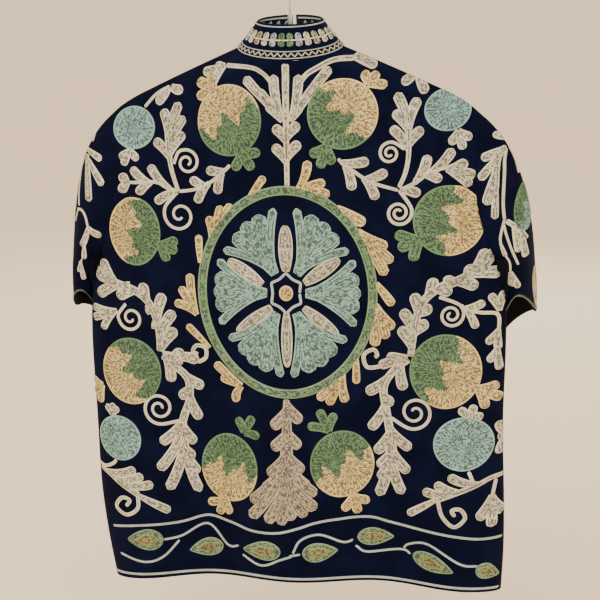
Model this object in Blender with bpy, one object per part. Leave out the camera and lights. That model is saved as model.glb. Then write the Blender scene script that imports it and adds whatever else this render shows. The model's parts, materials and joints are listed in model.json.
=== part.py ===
"""A loose open jacket with a stand collar and elbow sleeves, hanging on a wire hanger.

Metres, +Z up. The origin is the inside top of the hanger's hook. The back of the jacket faces -Y and
its open front faces +Y. "Drop" is a distance below the origin and "out" a distance from the middle.
Each cut piece is a thin wall between an outer and an inner grid of points, and the pieces stand a
seam gap apart. The solids: back, two fronts, two sleeves, collar, hanger frame, neck and hook.
"""

import math
from collections import namedtuple

import bmesh
import bpy
from mathutils import Vector

# Cloth
WALL = 0.0020
SEAM = 0.0003

# Neck opening, an oval on which the collar stands
NECK_HALF_WIDTH = 0.068
NECK_DROP = 0.116
NECK_DEPTH = {"back": 0.046, "front": 0.040}
NECK_DIP = {"back": 0.015, "front": 0.010}
COLLAR_TOP_HALF_WIDTH = 0.041
COLLAR_TOP_DEPTH = 0.036
COLLAR_TOP_DROP = {"back": 0.087, "front": 0.077}

# Body: its depth to the back and the front of the hanger's plane
FULL_DEPTH = {"back": 0.050, "front": 0.037}
HEM_EXTRA_DEPTH = 0.006
SECTION_POWER = 2.2
SHOULDER_ROLL = 0.045
NECK_SWELL_WIDTH = 0.075
NECK_SWELL_FALL = 0.035
HEM_DROP_MIDDLE = 0.805
HEM_DROP_SIDE = 0.827
FRONT_GAP_NECK = 0.007
FRONT_GAP_HEM = 0.044
NOTIONAL_HALF_WIDTH = 0.272

# Soft flutes that open towards the hem: depth at the hem, width of one flute, and where they start
Flutes = namedtuple("Flutes", "depth width shift start")
FLUTES = {
    "back": Flutes(depth=0.013, width=0.236, shift=0.000, start=0.30),
    "front": Flutes(depth=0.009, width=0.200, shift=0.035, start=0.45),
}

# The cloth's edge, from the shoulder point down the armhole and the side seam to the hem
Edge = namedtuple("Edge", "drop left right")
EDGE = (
    Edge(0.203, left=0.240, right=0.240),
    Edge(0.250, left=0.233, right=0.234),
    Edge(0.300, left=0.232, right=0.234),
    Edge(0.345, left=0.243, right=0.243),
    Edge(0.386, left=0.258, right=0.258),
    Edge(0.432, left=0.271, right=0.270),
    Edge(0.490, left=0.275, right=0.272),
    Edge(0.600, left=0.273, right=0.269),
    Edge(0.700, left=0.271, right=0.271),
    Edge(0.770, left=0.264, right=0.271),
    Edge(0.827, left=0.255, right=0.268),
)
SHOULDER_DROP = EDGE[0].drop
UNDERARM_DROP = 0.386
SIDE_LENGTH = HEM_DROP_SIDE - SHOULDER_DROP
UNDERARM = (UNDERARM_DROP - SHOULDER_DROP) / SIDE_LENGTH

# The shoulder seam, which lies along the hanger's arms
Ridge = namedtuple("Ridge", "out drop")
RIDGE = (
    Ridge(NECK_HALF_WIDTH, drop=NECK_DROP),
    Ridge(0.126, drop=0.141),
    Ridge(0.178, drop=0.1645),
    Ridge(0.206, drop=0.178),
    Ridge(0.225, drop=0.190),
    Ridge(EDGE[0].left, drop=SHOULDER_DROP),
)

# Grid of the panels
NECK_COLUMNS = 6
SHOULDER_COLUMNS = 9
ARMHOLE_ROWS = 11
SIDE_ROWS = 10
ARMHOLE_ROW_POWER = 1.6

# Sleeve: the cuff is a tilted oval, its front turned in before the body, and the sleeve swings forward
CUFF_OUT = 0.287
CUFF_FORWARD = 0.060
CUFF_HALF_WIDTH = 0.023
CUFF_HALF_DEPTH = 0.065
CUFF_TURN_IN = 0.034
CUFF_DROP = {"top": 0.464, "back": 0.433, "under": 0.487, "front": 0.520}
SLEEVE_ROWS = 10

# Directions in which the sleeve leaves the armhole and reaches the cuff, at four places round it
Aim = namedtuple("Aim", "out forward down")
LEAVE = {
    "top": Aim(out=0.205, forward=0.040, down=0.170),
    "back": Aim(out=0.115, forward=0.009, down=0.133),
    "under": Aim(out=0.141, forward=0.010, down=0.024),
    "front": Aim(out=0.087, forward=0.076, down=0.078),
}
ARRIVE = {
    "top": Aim(out=0.010, forward=0.020, down=0.240),
    "back": Aim(out=-0.015, forward=0.029, down=0.109),
    "under": Aim(out=0.010, forward=0.049, down=0.079),
    "front": Aim(out=-0.016, forward=0.024, down=0.153),
}

# Collar: it leaves the neckline a little slower than it reaches its top edge
COLLAR_ROWS = 4
COLLAR_LEAVE = 0.9
COLLAR_ARRIVE = 1.1

# Directions in which the cloth is thin at the places where two panels or the sleeve meet
SHOULDER_POINT_THIN = (0.45, 0.90)
UNDERARM_THIN = (0.80, -0.60)
ARMHOLE_CLOSING_POWER = 3
FLUTE_FADE_POWER = 4
CREASE_ANGLE = math.radians(50)

# Hanger of drawn wire
WIRE_RADIUS = 0.0013
HOOK_INSIDE_RADIUS = 0.016
HOOK_TIP_ANGLE = math.radians(205)
HOOK_STEM_MIDDLE_DROP = 0.064
HOOK_STEM_TOP_DROP = 0.052
HOOK_BEND_AIM = 0.030
HOOK_BEND_STEPS = 6
HOOK_ARC_STEPS = 14
NECK_TOP_DROP = 0.076
NECK_BOTTOM_DROP = 0.090
NECK_RADIUS = 0.0034
NECK_SEGMENTS = 16
ARM_BELOW_SEAM = 0.0075
ARM_END_OUT = 0.204
ARM_FIRST_OUT = 0.010
ARM_FIRST_DIP = 0.0025
ARM_BEND_SHARE = 0.52
CORNER_RADIUS = 0.007
CORNER_STEPS = 7
BAR_DROP = 0.203
BAR_POINT_OUT = 0.080

Finish = namedtuple("Finish", "colour roughness metallic")
NAVY_CLOTH = Finish((0.0085, 0.0112, 0.0300, 1.0), roughness=0.88, metallic=0.0)
STEEL_WIRE = Finish((0.560, 0.560, 0.575, 1.0), roughness=0.28, metallic=1.0)


def clear_scene():
    for thing in list(bpy.data.objects):
        bpy.data.objects.remove(thing, do_unlink=True)


def make_collection(name):
    group = bpy.data.collections.new(name)
    bpy.context.scene.collection.children.link(group)
    return group


def make_material(name, finish):
    material = bpy.data.materials.new(name)
    material.use_nodes = True
    shader = material.node_tree.nodes["Principled BSDF"]
    shader.inputs["Base Color"].default_value = finish.colour
    shader.inputs["Roughness"].default_value = finish.roughness
    shader.inputs["Metallic"].default_value = finish.metallic
    return material


def mix(low, high, share):
    return low + (high - low) * share


def ease(share):
    held = min(max(share, 0.0), 1.0)
    return held * held * (3.0 - 2.0 * held)


def read_table(rows, at, column):
    """Value of a column at a place between the rows, on a smooth curve through all of them."""
    last = len(rows) - 1
    spot = next((i for i in range(last) if at <= rows[i + 1][0]), last - 1)
    low, high = rows[spot], rows[spot + 1]
    span = high[0] - low[0]
    share = min(max((at - low[0]) / span, 0.0), 1.0)

    def slope(index):
        before, after = rows[max(index - 1, 0)], rows[min(index + 1, last)]
        return (getattr(after, column) - getattr(before, column)) / (after[0] - before[0])

    start, end = getattr(low, column), getattr(high, column)
    return hermite(start, slope(spot) * span, end, slope(spot + 1) * span, share)


def hermite(start, start_aim, end, end_aim, share):
    square, cube = share * share, share ** 3
    return (
        start * (2 * cube - 3 * square + 1)
        + start_aim * (cube - 2 * square + share)
        + end * (3 * square - 2 * cube)
        + end_aim * (cube - square)
    )


def edge_half_width(hand, fall):
    """Half width of the cloth at a share of the way from the shoulder point to the hem."""
    return read_table(EDGE, SHOULDER_DROP + fall * SIDE_LENGTH, hand)


def neck_share(out):
    """1 in the middle of the neck opening and 0 at its sides."""
    return math.sqrt(max(0.0, 1.0 - (out / NECK_HALF_WIDTH) ** 2))


def neck_swell(out, below):
    """How far the cloth still stands out under the collar: the neck's oval at the seam, soft lower down."""
    soft = 1.0 / (1.0 + (out / NECK_SWELL_WIDTH) ** 4)
    return mix(neck_share(out), soft, ease(below / NECK_SWELL_FALL))


def top_drop(face, out):
    if abs(out) < NECK_HALF_WIDTH:
        return NECK_DROP + NECK_DIP[face] * neck_share(out)
    return read_table(RIDGE, abs(out), "drop")


def hem_drop(share):
    return mix(HEM_DROP_MIDDLE, HEM_DROP_SIDE, share * share)


def flute(face, x, fall, share):
    """How far a soft flute pushes the cloth out, which fades at the side seams and above its start."""
    shape = FLUTES[face]
    grown = ease((fall - shape.start) / (1.0 - shape.start))
    fade = 1.0 - share ** FLUTE_FADE_POWER
    return shape.depth * grown * fade * math.cos(math.tau * (abs(x) - shape.shift) / shape.width)


def cloth_point(face, hand, out_share, fall):
    """Outer point of a body panel, by its share of the way out to the edge and down to the hem."""
    sign = -1.0 if hand == "left" else 1.0
    top_edge = EDGE[0].left
    half_width = edge_half_width(hand, fall)
    gap = 0.0
    top_gap = 0.0
    if face == "front":
        top_gap = FRONT_GAP_NECK / 2
        gap = mix(FRONT_GAP_NECK, FRONT_GAP_HEM, fall) / 2
    out = mix(gap, half_width, out_share)
    top_out = mix(top_gap, top_edge, out_share)
    low = mix(top_drop(face, top_out), hem_drop(out_share), fall)
    body_width = half_width
    if fall < UNDERARM:
        closing = (fall / UNDERARM) ** ARMHOLE_CLOSING_POWER
        body_width = mix(NOTIONAL_HALF_WIDTH, edge_half_width(hand, UNDERARM), closing)
    depth_here = FULL_DEPTH[face] + HEM_EXTRA_DEPTH * fall
    full = depth_here * max(0.0, 1.0 - (out / body_width) ** SECTION_POWER) ** (1.0 / SECTION_POWER)
    below = low - top_drop(face, top_out)
    start = NECK_DEPTH[face] * neck_swell(top_out, below)
    depth = mix(start, full, 1.0 - math.exp(-below / SHOULDER_ROLL)) + flute(face, out, fall, out_share)
    depth = max(depth, SEAM / 2)
    toward = -1.0 if face == "back" else 1.0
    return Vector((sign * out, toward * depth, -low))


def fall_rows():
    """Shares of the way down: the armhole's rows, closer together at the top, then the side's."""
    rows = [UNDERARM * (i / ARMHOLE_ROWS) ** ARMHOLE_ROW_POWER for i in range(ARMHOLE_ROWS + 1)]
    rows += [mix(UNDERARM, 1.0, i / SIDE_ROWS) for i in range(1, SIDE_ROWS + 1)]
    return rows


def out_columns(face):
    """Shares of the way out: the neck's columns up to its side, then the shoulder's to the edge."""
    gap = FRONT_GAP_NECK / 2 if face == "front" else 0.0
    first = math.asin(gap / NECK_HALF_WIDTH)
    turns = [mix(first, math.pi / 2, i / NECK_COLUMNS) for i in range(NECK_COLUMNS + 1)]
    outs = [NECK_HALF_WIDTH * math.sin(turn) for turn in turns]
    spread = [math.sin(math.pi / 2 * i / SHOULDER_COLUMNS) for i in range(1, SHOULDER_COLUMNS + 1)]
    outs += [mix(NECK_HALF_WIDTH, EDGE[0].left, share) for share in spread]
    return [(out - gap) / (EDGE[0].left - gap) for out in outs]


def grid_normals(grid, wrap=False):
    """Unit normals of a grid of points, from its neighbours along the rows and the columns."""
    rows, columns = len(grid), len(grid[0])
    normals = []
    for r in range(rows):
        line = []
        for c in range(columns):
            up, down = grid[max(r - 1, 0)][c], grid[min(r + 1, rows - 1)][c]
            if wrap:
                before, after = grid[r][c - 1], grid[r][(c + 1) % columns]
            else:
                before, after = grid[r][max(c - 1, 0)], grid[r][min(c + 1, columns - 1)]
            line.append((after - before).cross(down - up).normalized())
        normals.append(line)
    return normals


def panel_grids(face, hand):
    """Outer and inner points of half a panel, from its middle out to the side."""
    columns, rows = out_columns(face), fall_rows()
    outer = [[cloth_point(face, hand, out, fall) for out in columns] for fall in rows]
    normals = grid_normals(outer)
    sign = -1.0 if hand == "left" else 1.0
    toward = -1.0 if face == "back" else 1.0
    last = len(columns) - 1
    inner = []
    for r, fall in enumerate(rows):
        line = []
        for c, point in enumerate(outer[r]):
            normal = normals[r][c]
            if normal.y * toward < 0:
                normal = -normal
            if face == "back" and c == 0:
                normal = Vector((0.0, normal.y, normal.z)).normalized()
            if r == 0 and c == last:
                normal = Vector((SHOULDER_POINT_THIN[0] * sign, 0.0, SHOULDER_POINT_THIN[1])).normalized()
            elif r == 0 and c >= NECK_COLUMNS:
                normal = Vector((0.0, 0.0, 1.0))
            elif c == last and r == ARMHOLE_ROWS:
                normal = Vector((UNDERARM_THIN[0] * sign, 0.0, UNDERARM_THIN[1]))
            elif c == last and fall > UNDERARM:
                normal = Vector((sign, 0.0, 0.0))
            below = point - normal * WALL
            if below.y * toward < SEAM / 2:
                below.y = toward * SEAM / 2
            line.append(below)
        inner.append(line)
    return outer, inner


def make_wall(name, outer, inner, group, material, wrap=False):
    """Closed wall between two grids of points; wrap joins the last column to the first."""
    form = bmesh.new()
    skins = [[[form.verts.new(point) for point in row] for row in grid] for grid in (outer, inner)]
    rows, columns = len(outer), len(outer[0])
    steps = [(c, (c + 1) % columns) for c in range(columns if wrap else columns - 1)]
    for skin in skins:
        for r in range(rows - 1):
            for c, d in steps:
                form.faces.new((skin[r][c], skin[r][d], skin[r + 1][d], skin[r + 1][c]))
    front, back = skins
    for r in (0, rows - 1):
        for c, d in steps:
            form.faces.new((front[r][c], front[r][d], back[r][d], back[r][c]))
    if not wrap:
        for c in (0, columns - 1):
            for r in range(rows - 1):
                form.faces.new((front[r][c], front[r + 1][c], back[r + 1][c], back[r][c]))
    bmesh.ops.triangulate(form, faces=form.faces)
    bmesh.ops.recalc_face_normals(form, faces=form.faces)
    return finish_mesh(name, form, group, material)


def finish_mesh(name, form, group, material):
    mesh = bpy.data.meshes.new(name)
    form.to_mesh(mesh)
    form.free()
    mesh.shade_smooth()
    mesh.set_sharp_from_angle(angle=CREASE_ANGLE)
    mesh.materials.append(material)
    piece = bpy.data.objects.new(name, mesh)
    group.objects.link(piece)
    return piece


def back_panel(group, material):
    left_outer, left_inner = panel_grids("back", "left")
    right_outer, right_inner = panel_grids("back", "right")

    def joined(left, right):
        return [list(reversed(a))[:-1] + b for a, b in zip(left, right)]

    make_wall("back_panel", joined(left_outer, right_outer), joined(left_inner, right_inner), group, material)


def front_panel(hand, group, material):
    outer, inner = panel_grids("front", hand)
    make_wall("front_" + hand, outer, inner, group, material)


def armhole_ring(hand):
    """Outer and inner points round the armhole, a seam gap off the panels: back edge down, front edge up."""
    sides = {}
    for face in ("back", "front"):
        outer, inner = panel_grids(face, hand)
        sides[face] = [(outer[r][-1], inner[r][-1], outer[r][-2]) for r in range(ARMHOLE_ROWS + 1)]
    back, front = sides["back"], sides["front"]
    ring = [back[0]] + back[1:-1] + [back[-1]] + list(reversed(front[1:-1]))
    outer_ring, inner_ring = [], []
    for i, (outer, inner, before) in enumerate(ring):
        away = outer - before
        if i in (0, ARMHOLE_ROWS):
            away.y = 0.0
        step = away.normalized() * SEAM
        outer, inner = outer + step, inner + step
        if i in (0, ARMHOLE_ROWS):
            outer.y = inner.y = 0.0
        outer_ring.append(outer)
        inner_ring.append(inner)
    return outer_ring, inner_ring


def ring_turns(ring):
    """Turn of each point round a closed ring, by its length, with the underarm at half a turn."""
    count = len(ring)
    steps = [(ring[(i + 1) % count] - ring[i]).length for i in range(count)]
    half = ARMHOLE_ROWS
    down, up = sum(steps[:half]), sum(steps[half:])
    turns, run = [], 0.0
    for i in range(count):
        turns.append(math.pi * run / down if i <= half else math.pi * (1.0 + (run - down) / up))
        run += steps[i]
    return turns


def round_mix(values, turn):
    """Value at a turn round the sleeve, blended from the ones at its top, back, underside and front."""
    across, round_back = math.cos(turn), math.sin(turn)
    shares = {
        "top": max(across, 0.0) ** 2,
        "back": max(round_back, 0.0) ** 2,
        "under": min(across, 0.0) ** 2,
        "front": min(round_back, 0.0) ** 2,
    }
    return sum(share * values[place] for place, share in shares.items())


def round_aim(aims, sign, turn):
    out, forward, down = [
        round_mix({place: getattr(aim, axis) for place, aim in aims.items()}, turn) for axis in Aim._fields
    ]
    return Vector((sign * out, forward, -down))


def sleeve(hand, group, material):
    sign = -1.0 if hand == "left" else 1.0
    outer_ring, inner_ring = armhole_ring(hand)
    turns = ring_turns(outer_ring)
    outer = []
    for r in range(SLEEVE_ROWS + 1):
        share = r / SLEEVE_ROWS
        line = []
        for start, turn in zip(outer_ring, turns):
            across, round_back = math.cos(turn), math.sin(turn)
            cuff = Vector((
                sign * (CUFF_OUT + CUFF_HALF_WIDTH * across - CUFF_TURN_IN * ease(-round_back)),
                CUFF_FORWARD - CUFF_HALF_DEPTH * round_back,
                -round_mix(CUFF_DROP, turn),
            ))
            leave, arrive = round_aim(LEAVE, sign, turn), round_aim(ARRIVE, sign, turn)
            line.append(hermite(start, leave, cuff, arrive, share))
        outer.append(line)
    normals = grid_normals(outer, wrap=True)
    middle = sum(outer[-1], Vector()) / len(outer[-1])
    flip = -1.0 if normals[-1][0].dot(outer[-1][0] - middle) < 0 else 1.0
    inner = [inner_ring]
    for line, line_normals in zip(outer[1:], normals[1:]):
        inner.append([point - normal * flip * WALL for point, normal in zip(line, line_normals)])
    make_wall("sleeve_" + hand, outer, inner, group, material, wrap=True)


def collar(group, material):
    """Stand collar from one front end round the back to the other, on the neckline's own points."""
    base = []
    for face, hand, backwards in (
        ("front", "left", False), ("back", "left", True), ("back", "right", False), ("front", "right", True),
    ):
        outer, inner = panel_grids(face, hand)
        arc = [(face, outer[0][c], inner[0][c]) for c in range(NECK_COLUMNS + 1)]
        if backwards:
            arc.reverse()
        base += arc if not base else arc[1:]
    outer_grid, inner_grid = [], []
    for r in range(COLLAR_ROWS + 1):
        share = r / COLLAR_ROWS
        outer_line, inner_line = [], []
        for face, outer, inner in base:
            turn = outer.x / NECK_HALF_WIDTH
            toward = -1.0 if face == "back" else 1.0
            depth_share = neck_share(outer.x)
            top = Vector((
                COLLAR_TOP_HALF_WIDTH * turn,
                toward * COLLAR_TOP_DEPTH * depth_share,
                -mix(
                    mix(COLLAR_TOP_DROP["back"], COLLAR_TOP_DROP["front"], 0.5),
                    COLLAR_TOP_DROP[face],
                    depth_share,
                ),
            ))
            lift = Vector((0.0, 0.0, SEAM))
            if abs(abs(outer.x) - NECK_HALF_WIDTH) < SEAM:
                outer, inner = outer.copy(), inner.copy()
                outer.y = inner.y = 0.0
            bottom = outer + lift
            rise = top - bottom
            outer_point = hermite(bottom, rise * COLLAR_LEAVE, top, rise * COLLAR_ARRIVE, share)
            into = Vector((-outer_point.x, -outer_point.y, 0.0)).normalized() * WALL
            thin = mix(inner + lift, bottom + into, ease(share * 2.0)) - bottom
            outer_line.append(outer_point)
            inner_line.append(outer_point + thin)
        outer_grid.append(outer_line)
        inner_grid.append(inner_line)
    make_wall("collar", outer_grid, inner_grid, group, material)


def make_wire(name, points, closed, group, material):
    """Round wire along smooth points; an open one has filled ends."""
    curve = bpy.data.curves.new(name, "CURVE")
    curve.dimensions = "3D"
    curve.bevel_depth = WIRE_RADIUS
    curve.bevel_resolution = 2
    curve.use_fill_caps = not closed
    spline = curve.splines.new("POLY")
    spline.points.add(len(points) - 1)
    for place, point in zip(spline.points, points):
        place.co = (*point, 1.0)
    spline.use_cyclic_u = closed
    curve.materials.append(material)
    wire = bpy.data.objects.new(name, curve)
    group.objects.link(wire)
    return wire


def arc_points(centre, radius, start, end, steps):
    angles = [mix(start, end, i / steps) for i in range(steps + 1)]
    return [Vector((centre[0] + radius * math.cos(a), 0.0, centre[1] + radius * math.sin(a))) for a in angles]


def hanger_hook(group, material):
    """Question-mark hook: a straight stem, a bend out to the side and an arc over the top."""
    radius = HOOK_INSIDE_RADIUS + WIRE_RADIUS
    stem = (NECK_TOP_DROP - SEAM, HOOK_STEM_MIDDLE_DROP, HOOK_STEM_TOP_DROP)
    points = [Vector((0.0, 0.0, -drop)) for drop in stem]
    side = Vector((radius, 0.0, -HOOK_INSIDE_RADIUS))
    rise = Vector((0.0, 0.0, HOOK_BEND_AIM))
    shares = [i / HOOK_BEND_STEPS for i in range(1, HOOK_BEND_STEPS)]
    points += [hermite(points[2], rise, side, rise, share) for share in shares]
    points += arc_points((0.0, -HOOK_INSIDE_RADIUS), radius, 0.0, HOOK_TIP_ANGLE, HOOK_ARC_STEPS)
    make_wire("hanger_hook", points, False, group, material)


def hanger_neck(group, material):
    form = bmesh.new()
    bmesh.ops.create_cone(
        form, cap_ends=True, segments=NECK_SEGMENTS, radius1=NECK_RADIUS, radius2=NECK_RADIUS,
        depth=NECK_BOTTOM_DROP - NECK_TOP_DROP,
    )
    bmesh.ops.translate(form, verts=form.verts, vec=(0.0, 0.0, -(NECK_TOP_DROP + NECK_BOTTOM_DROP) / 2))
    finish_mesh("hanger_neck", form, group, material)


def hanger_frame(group, material):
    """Closed wire triangle: two arms under the shoulder seams and a straight bar."""
    apex_drop = NECK_BOTTOM_DROP + WIRE_RADIUS + SEAM
    neck_drop = NECK_DROP + ARM_BELOW_SEAM
    half = [
        Vector((ARM_FIRST_OUT, 0.0, -apex_drop - ARM_FIRST_DIP)),
        Vector((NECK_HALF_WIDTH / 2, 0.0, -mix(apex_drop, neck_drop, ARM_BEND_SHARE))),
        Vector((NECK_HALF_WIDTH, 0.0, -neck_drop)),
    ]
    for share in (1 / 3, 2 / 3, 1.0):
        out = mix(NECK_HALF_WIDTH, ARM_END_OUT - CORNER_RADIUS, share)
        half.append(Vector((out, 0.0, -read_table(RIDGE, out, "drop") - ARM_BELOW_SEAM)))
    slope = half[-1] - half[-2]
    start = math.atan2(slope.x, -slope.z)
    centre = (ARM_END_OUT - CORNER_RADIUS, -BAR_DROP + CORNER_RADIUS)
    half += arc_points(centre, CORNER_RADIUS, math.pi / 2 - start / 2, -math.pi / 2, CORNER_STEPS)
    half.append(Vector((BAR_POINT_OUT, 0.0, -BAR_DROP)))
    mirrored = [Vector((-point.x, point.y, point.z)) for point in reversed(half)]
    top = [Vector((0.0, 0.0, -apex_drop))]
    make_wire("hanger_frame", top + half + mirrored, True, group, material)


def main():
    clear_scene()
    group = make_collection("reversible_jacket_on_hanger")
    cloth = {
        name: make_material(name + "_cloth", NAVY_CLOTH)
        for name in ("back_panel", "front_left", "front_right", "sleeve_left", "sleeve_right", "collar")
    }
    wire = {
        name: make_material(name + "_wire", STEEL_WIRE)
        for name in ("hanger_frame", "hanger_neck", "hanger_hook")
    }
    back_panel(group, cloth["back_panel"])
    collar(group, cloth["collar"])
    for hand in ("left", "right"):
        front_panel(hand, group, cloth["front_" + hand])
        sleeve(hand, group, cloth["sleeve_" + hand])
    hanger_frame(group, wire["hanger_frame"])
    hanger_neck(group, wire["hanger_neck"])
    hanger_hook(group, wire["hanger_hook"])


main()
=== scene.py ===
"""Looks of the embroidered jacket on its wire hanger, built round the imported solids.

Metres, +Z up. The origin is the inside top of the hanger's hook, the back of the jacket faces -Y and its
open front +Y. Places of the embroidery are in millimetres of the cloth that carries it, and become metres
where the stitches are made.
"""

import json
import logging
import math
from collections.abc import Callable, Iterable, Sequence
from dataclasses import dataclass, field
from enum import Enum
from typing import Any, NamedTuple

import bmesh
import bpy
import numpy as np
from mathutils import Matrix, Vector
from mathutils.bvhtree import BVHTree
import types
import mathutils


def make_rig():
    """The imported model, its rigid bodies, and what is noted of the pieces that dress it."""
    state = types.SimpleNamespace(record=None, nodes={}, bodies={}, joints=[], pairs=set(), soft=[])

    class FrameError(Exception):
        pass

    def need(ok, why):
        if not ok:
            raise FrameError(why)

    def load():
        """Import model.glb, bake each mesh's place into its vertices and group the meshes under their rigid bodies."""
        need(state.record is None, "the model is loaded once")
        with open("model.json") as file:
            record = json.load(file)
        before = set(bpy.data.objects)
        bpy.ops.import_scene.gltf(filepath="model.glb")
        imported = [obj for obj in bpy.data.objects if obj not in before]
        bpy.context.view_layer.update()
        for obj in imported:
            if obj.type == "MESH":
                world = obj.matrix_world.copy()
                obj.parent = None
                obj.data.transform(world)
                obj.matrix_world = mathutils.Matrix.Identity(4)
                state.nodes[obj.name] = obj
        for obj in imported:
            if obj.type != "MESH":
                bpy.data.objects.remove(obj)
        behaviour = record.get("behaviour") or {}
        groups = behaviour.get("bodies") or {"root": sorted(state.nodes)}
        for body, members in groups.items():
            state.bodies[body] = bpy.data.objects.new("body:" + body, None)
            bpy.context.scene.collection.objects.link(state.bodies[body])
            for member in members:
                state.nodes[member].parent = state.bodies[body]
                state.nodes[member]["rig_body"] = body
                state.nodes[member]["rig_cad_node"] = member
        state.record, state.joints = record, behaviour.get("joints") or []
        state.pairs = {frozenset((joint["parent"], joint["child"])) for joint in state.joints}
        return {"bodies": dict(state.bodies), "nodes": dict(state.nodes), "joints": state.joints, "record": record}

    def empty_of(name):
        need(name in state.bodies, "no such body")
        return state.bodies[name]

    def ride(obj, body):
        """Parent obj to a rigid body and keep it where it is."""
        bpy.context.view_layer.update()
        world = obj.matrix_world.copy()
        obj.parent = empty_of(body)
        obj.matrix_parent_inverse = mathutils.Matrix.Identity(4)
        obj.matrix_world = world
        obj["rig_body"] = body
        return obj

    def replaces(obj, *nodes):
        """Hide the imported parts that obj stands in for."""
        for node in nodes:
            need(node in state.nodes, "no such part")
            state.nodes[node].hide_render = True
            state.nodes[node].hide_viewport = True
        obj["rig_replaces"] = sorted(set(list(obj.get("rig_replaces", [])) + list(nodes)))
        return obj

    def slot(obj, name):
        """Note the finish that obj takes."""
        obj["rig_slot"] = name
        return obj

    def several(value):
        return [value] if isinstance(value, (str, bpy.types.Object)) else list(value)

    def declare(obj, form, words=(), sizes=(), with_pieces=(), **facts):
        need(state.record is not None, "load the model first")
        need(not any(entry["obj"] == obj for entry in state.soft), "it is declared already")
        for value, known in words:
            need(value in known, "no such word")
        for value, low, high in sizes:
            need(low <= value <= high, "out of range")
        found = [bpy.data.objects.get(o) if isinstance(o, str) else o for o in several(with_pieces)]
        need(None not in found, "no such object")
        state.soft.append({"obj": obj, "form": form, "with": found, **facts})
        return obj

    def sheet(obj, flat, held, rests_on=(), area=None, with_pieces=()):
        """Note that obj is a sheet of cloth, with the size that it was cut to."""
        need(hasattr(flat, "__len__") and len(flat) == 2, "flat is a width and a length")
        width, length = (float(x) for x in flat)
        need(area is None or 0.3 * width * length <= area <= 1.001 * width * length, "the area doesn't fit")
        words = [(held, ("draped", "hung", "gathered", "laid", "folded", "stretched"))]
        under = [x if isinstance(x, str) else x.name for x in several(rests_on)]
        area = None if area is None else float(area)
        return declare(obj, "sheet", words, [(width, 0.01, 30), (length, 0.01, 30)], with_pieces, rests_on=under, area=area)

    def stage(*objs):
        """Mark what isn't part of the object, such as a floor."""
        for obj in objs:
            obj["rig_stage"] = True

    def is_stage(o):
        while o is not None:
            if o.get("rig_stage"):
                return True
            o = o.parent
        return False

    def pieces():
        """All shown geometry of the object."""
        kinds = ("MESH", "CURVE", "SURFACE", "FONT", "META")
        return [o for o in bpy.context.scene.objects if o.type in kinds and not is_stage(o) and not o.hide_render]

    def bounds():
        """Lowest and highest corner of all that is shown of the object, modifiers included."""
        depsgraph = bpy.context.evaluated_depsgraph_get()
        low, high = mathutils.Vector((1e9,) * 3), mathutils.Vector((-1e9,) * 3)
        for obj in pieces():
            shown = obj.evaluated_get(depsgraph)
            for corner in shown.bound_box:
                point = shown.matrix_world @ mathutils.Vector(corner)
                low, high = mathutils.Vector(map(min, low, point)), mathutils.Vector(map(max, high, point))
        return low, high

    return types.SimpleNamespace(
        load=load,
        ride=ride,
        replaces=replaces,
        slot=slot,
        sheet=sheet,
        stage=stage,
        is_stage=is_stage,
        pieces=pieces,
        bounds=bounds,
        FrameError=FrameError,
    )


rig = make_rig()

LOG = logging.getLogger("jacket")
MM = 0.001
# Width of a row of stitches, and how far the outline of a patch goes into its cloth, in metres.
ROW = 0.0023
TUCK = 0.0004
# Steepest fold between two faces that is still shaded as smooth, in degrees.
SMOOTH_UP_TO = 62.0


class Face(Enum):
    """The two faces of the body."""

    BACK = -1.0
    FRONT = 1.0


class Hand(Enum):
    """The wearer's sides, as their sign along X."""

    LEFT = -1.0
    RIGHT = 1.0


def mix(low: float, high: float, share: float) -> float:
    """Value at a share of the way from low to high."""
    return low + (high - low) * share


def ease(share: float) -> float:
    """Smooth step of a share, held between 0 and 1."""
    held = min(max(share, 0.0), 1.0)
    return held * held * (3.0 - 2.0 * held)


def hermite(start: Any, start_aim: Any, end: Any, end_aim: Any, share: float) -> Any:
    """Point or number on the cubic that leaves start along its aim and reaches end along its own."""
    square, cube = share * share, share**3
    return (
        start * (2 * cube - 3 * square + 1)
        + start_aim * (cube - 2 * square + share)
        + end * (3 * square - 2 * cube)
        + end_aim * (cube - square)
    )


@dataclass(frozen=True)
class Curve:
    """Smooth curve through a short table of places and values.

    Args:
        rows: Place and value of each point, by rising place.
    """

    rows: tuple[tuple[float, float], ...]

    def slope(self, index: int) -> float:
        """Slope at a row, from its neighbours."""
        before, after = self.rows[max(index - 1, 0)], self.rows[min(index + 1, len(self.rows) - 1)]
        return (after[1] - before[1]) / (after[0] - before[0])

    def at(self, place: float) -> float:
        """Value at a place.

        Args:
            place: Where to read the curve; it's held at the ends.

        Returns:
            The value there.
        """
        last = len(self.rows) - 1
        spot = next((i for i in range(last) if place <= self.rows[i + 1][0]), last - 1)
        low, high = self.rows[spot], self.rows[spot + 1]
        span = high[0] - low[0]
        share = min(max((place - low[0]) / span, 0.0), 1.0)
        return hermite(low[1], self.slope(spot) * span, high[1], self.slope(spot + 1) * span, share)


class Flutes(NamedTuple):
    """Soft flutes that open towards the hem."""

    depth: float
    width: float
    shift: float
    start: float


class Crease(NamedTuple):
    """A soft trough or ridge across a panel, in millimetres; a negative depth is a trough."""

    x: float
    z: float
    to_x: float
    to_z: float
    depth: float
    width: float


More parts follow.
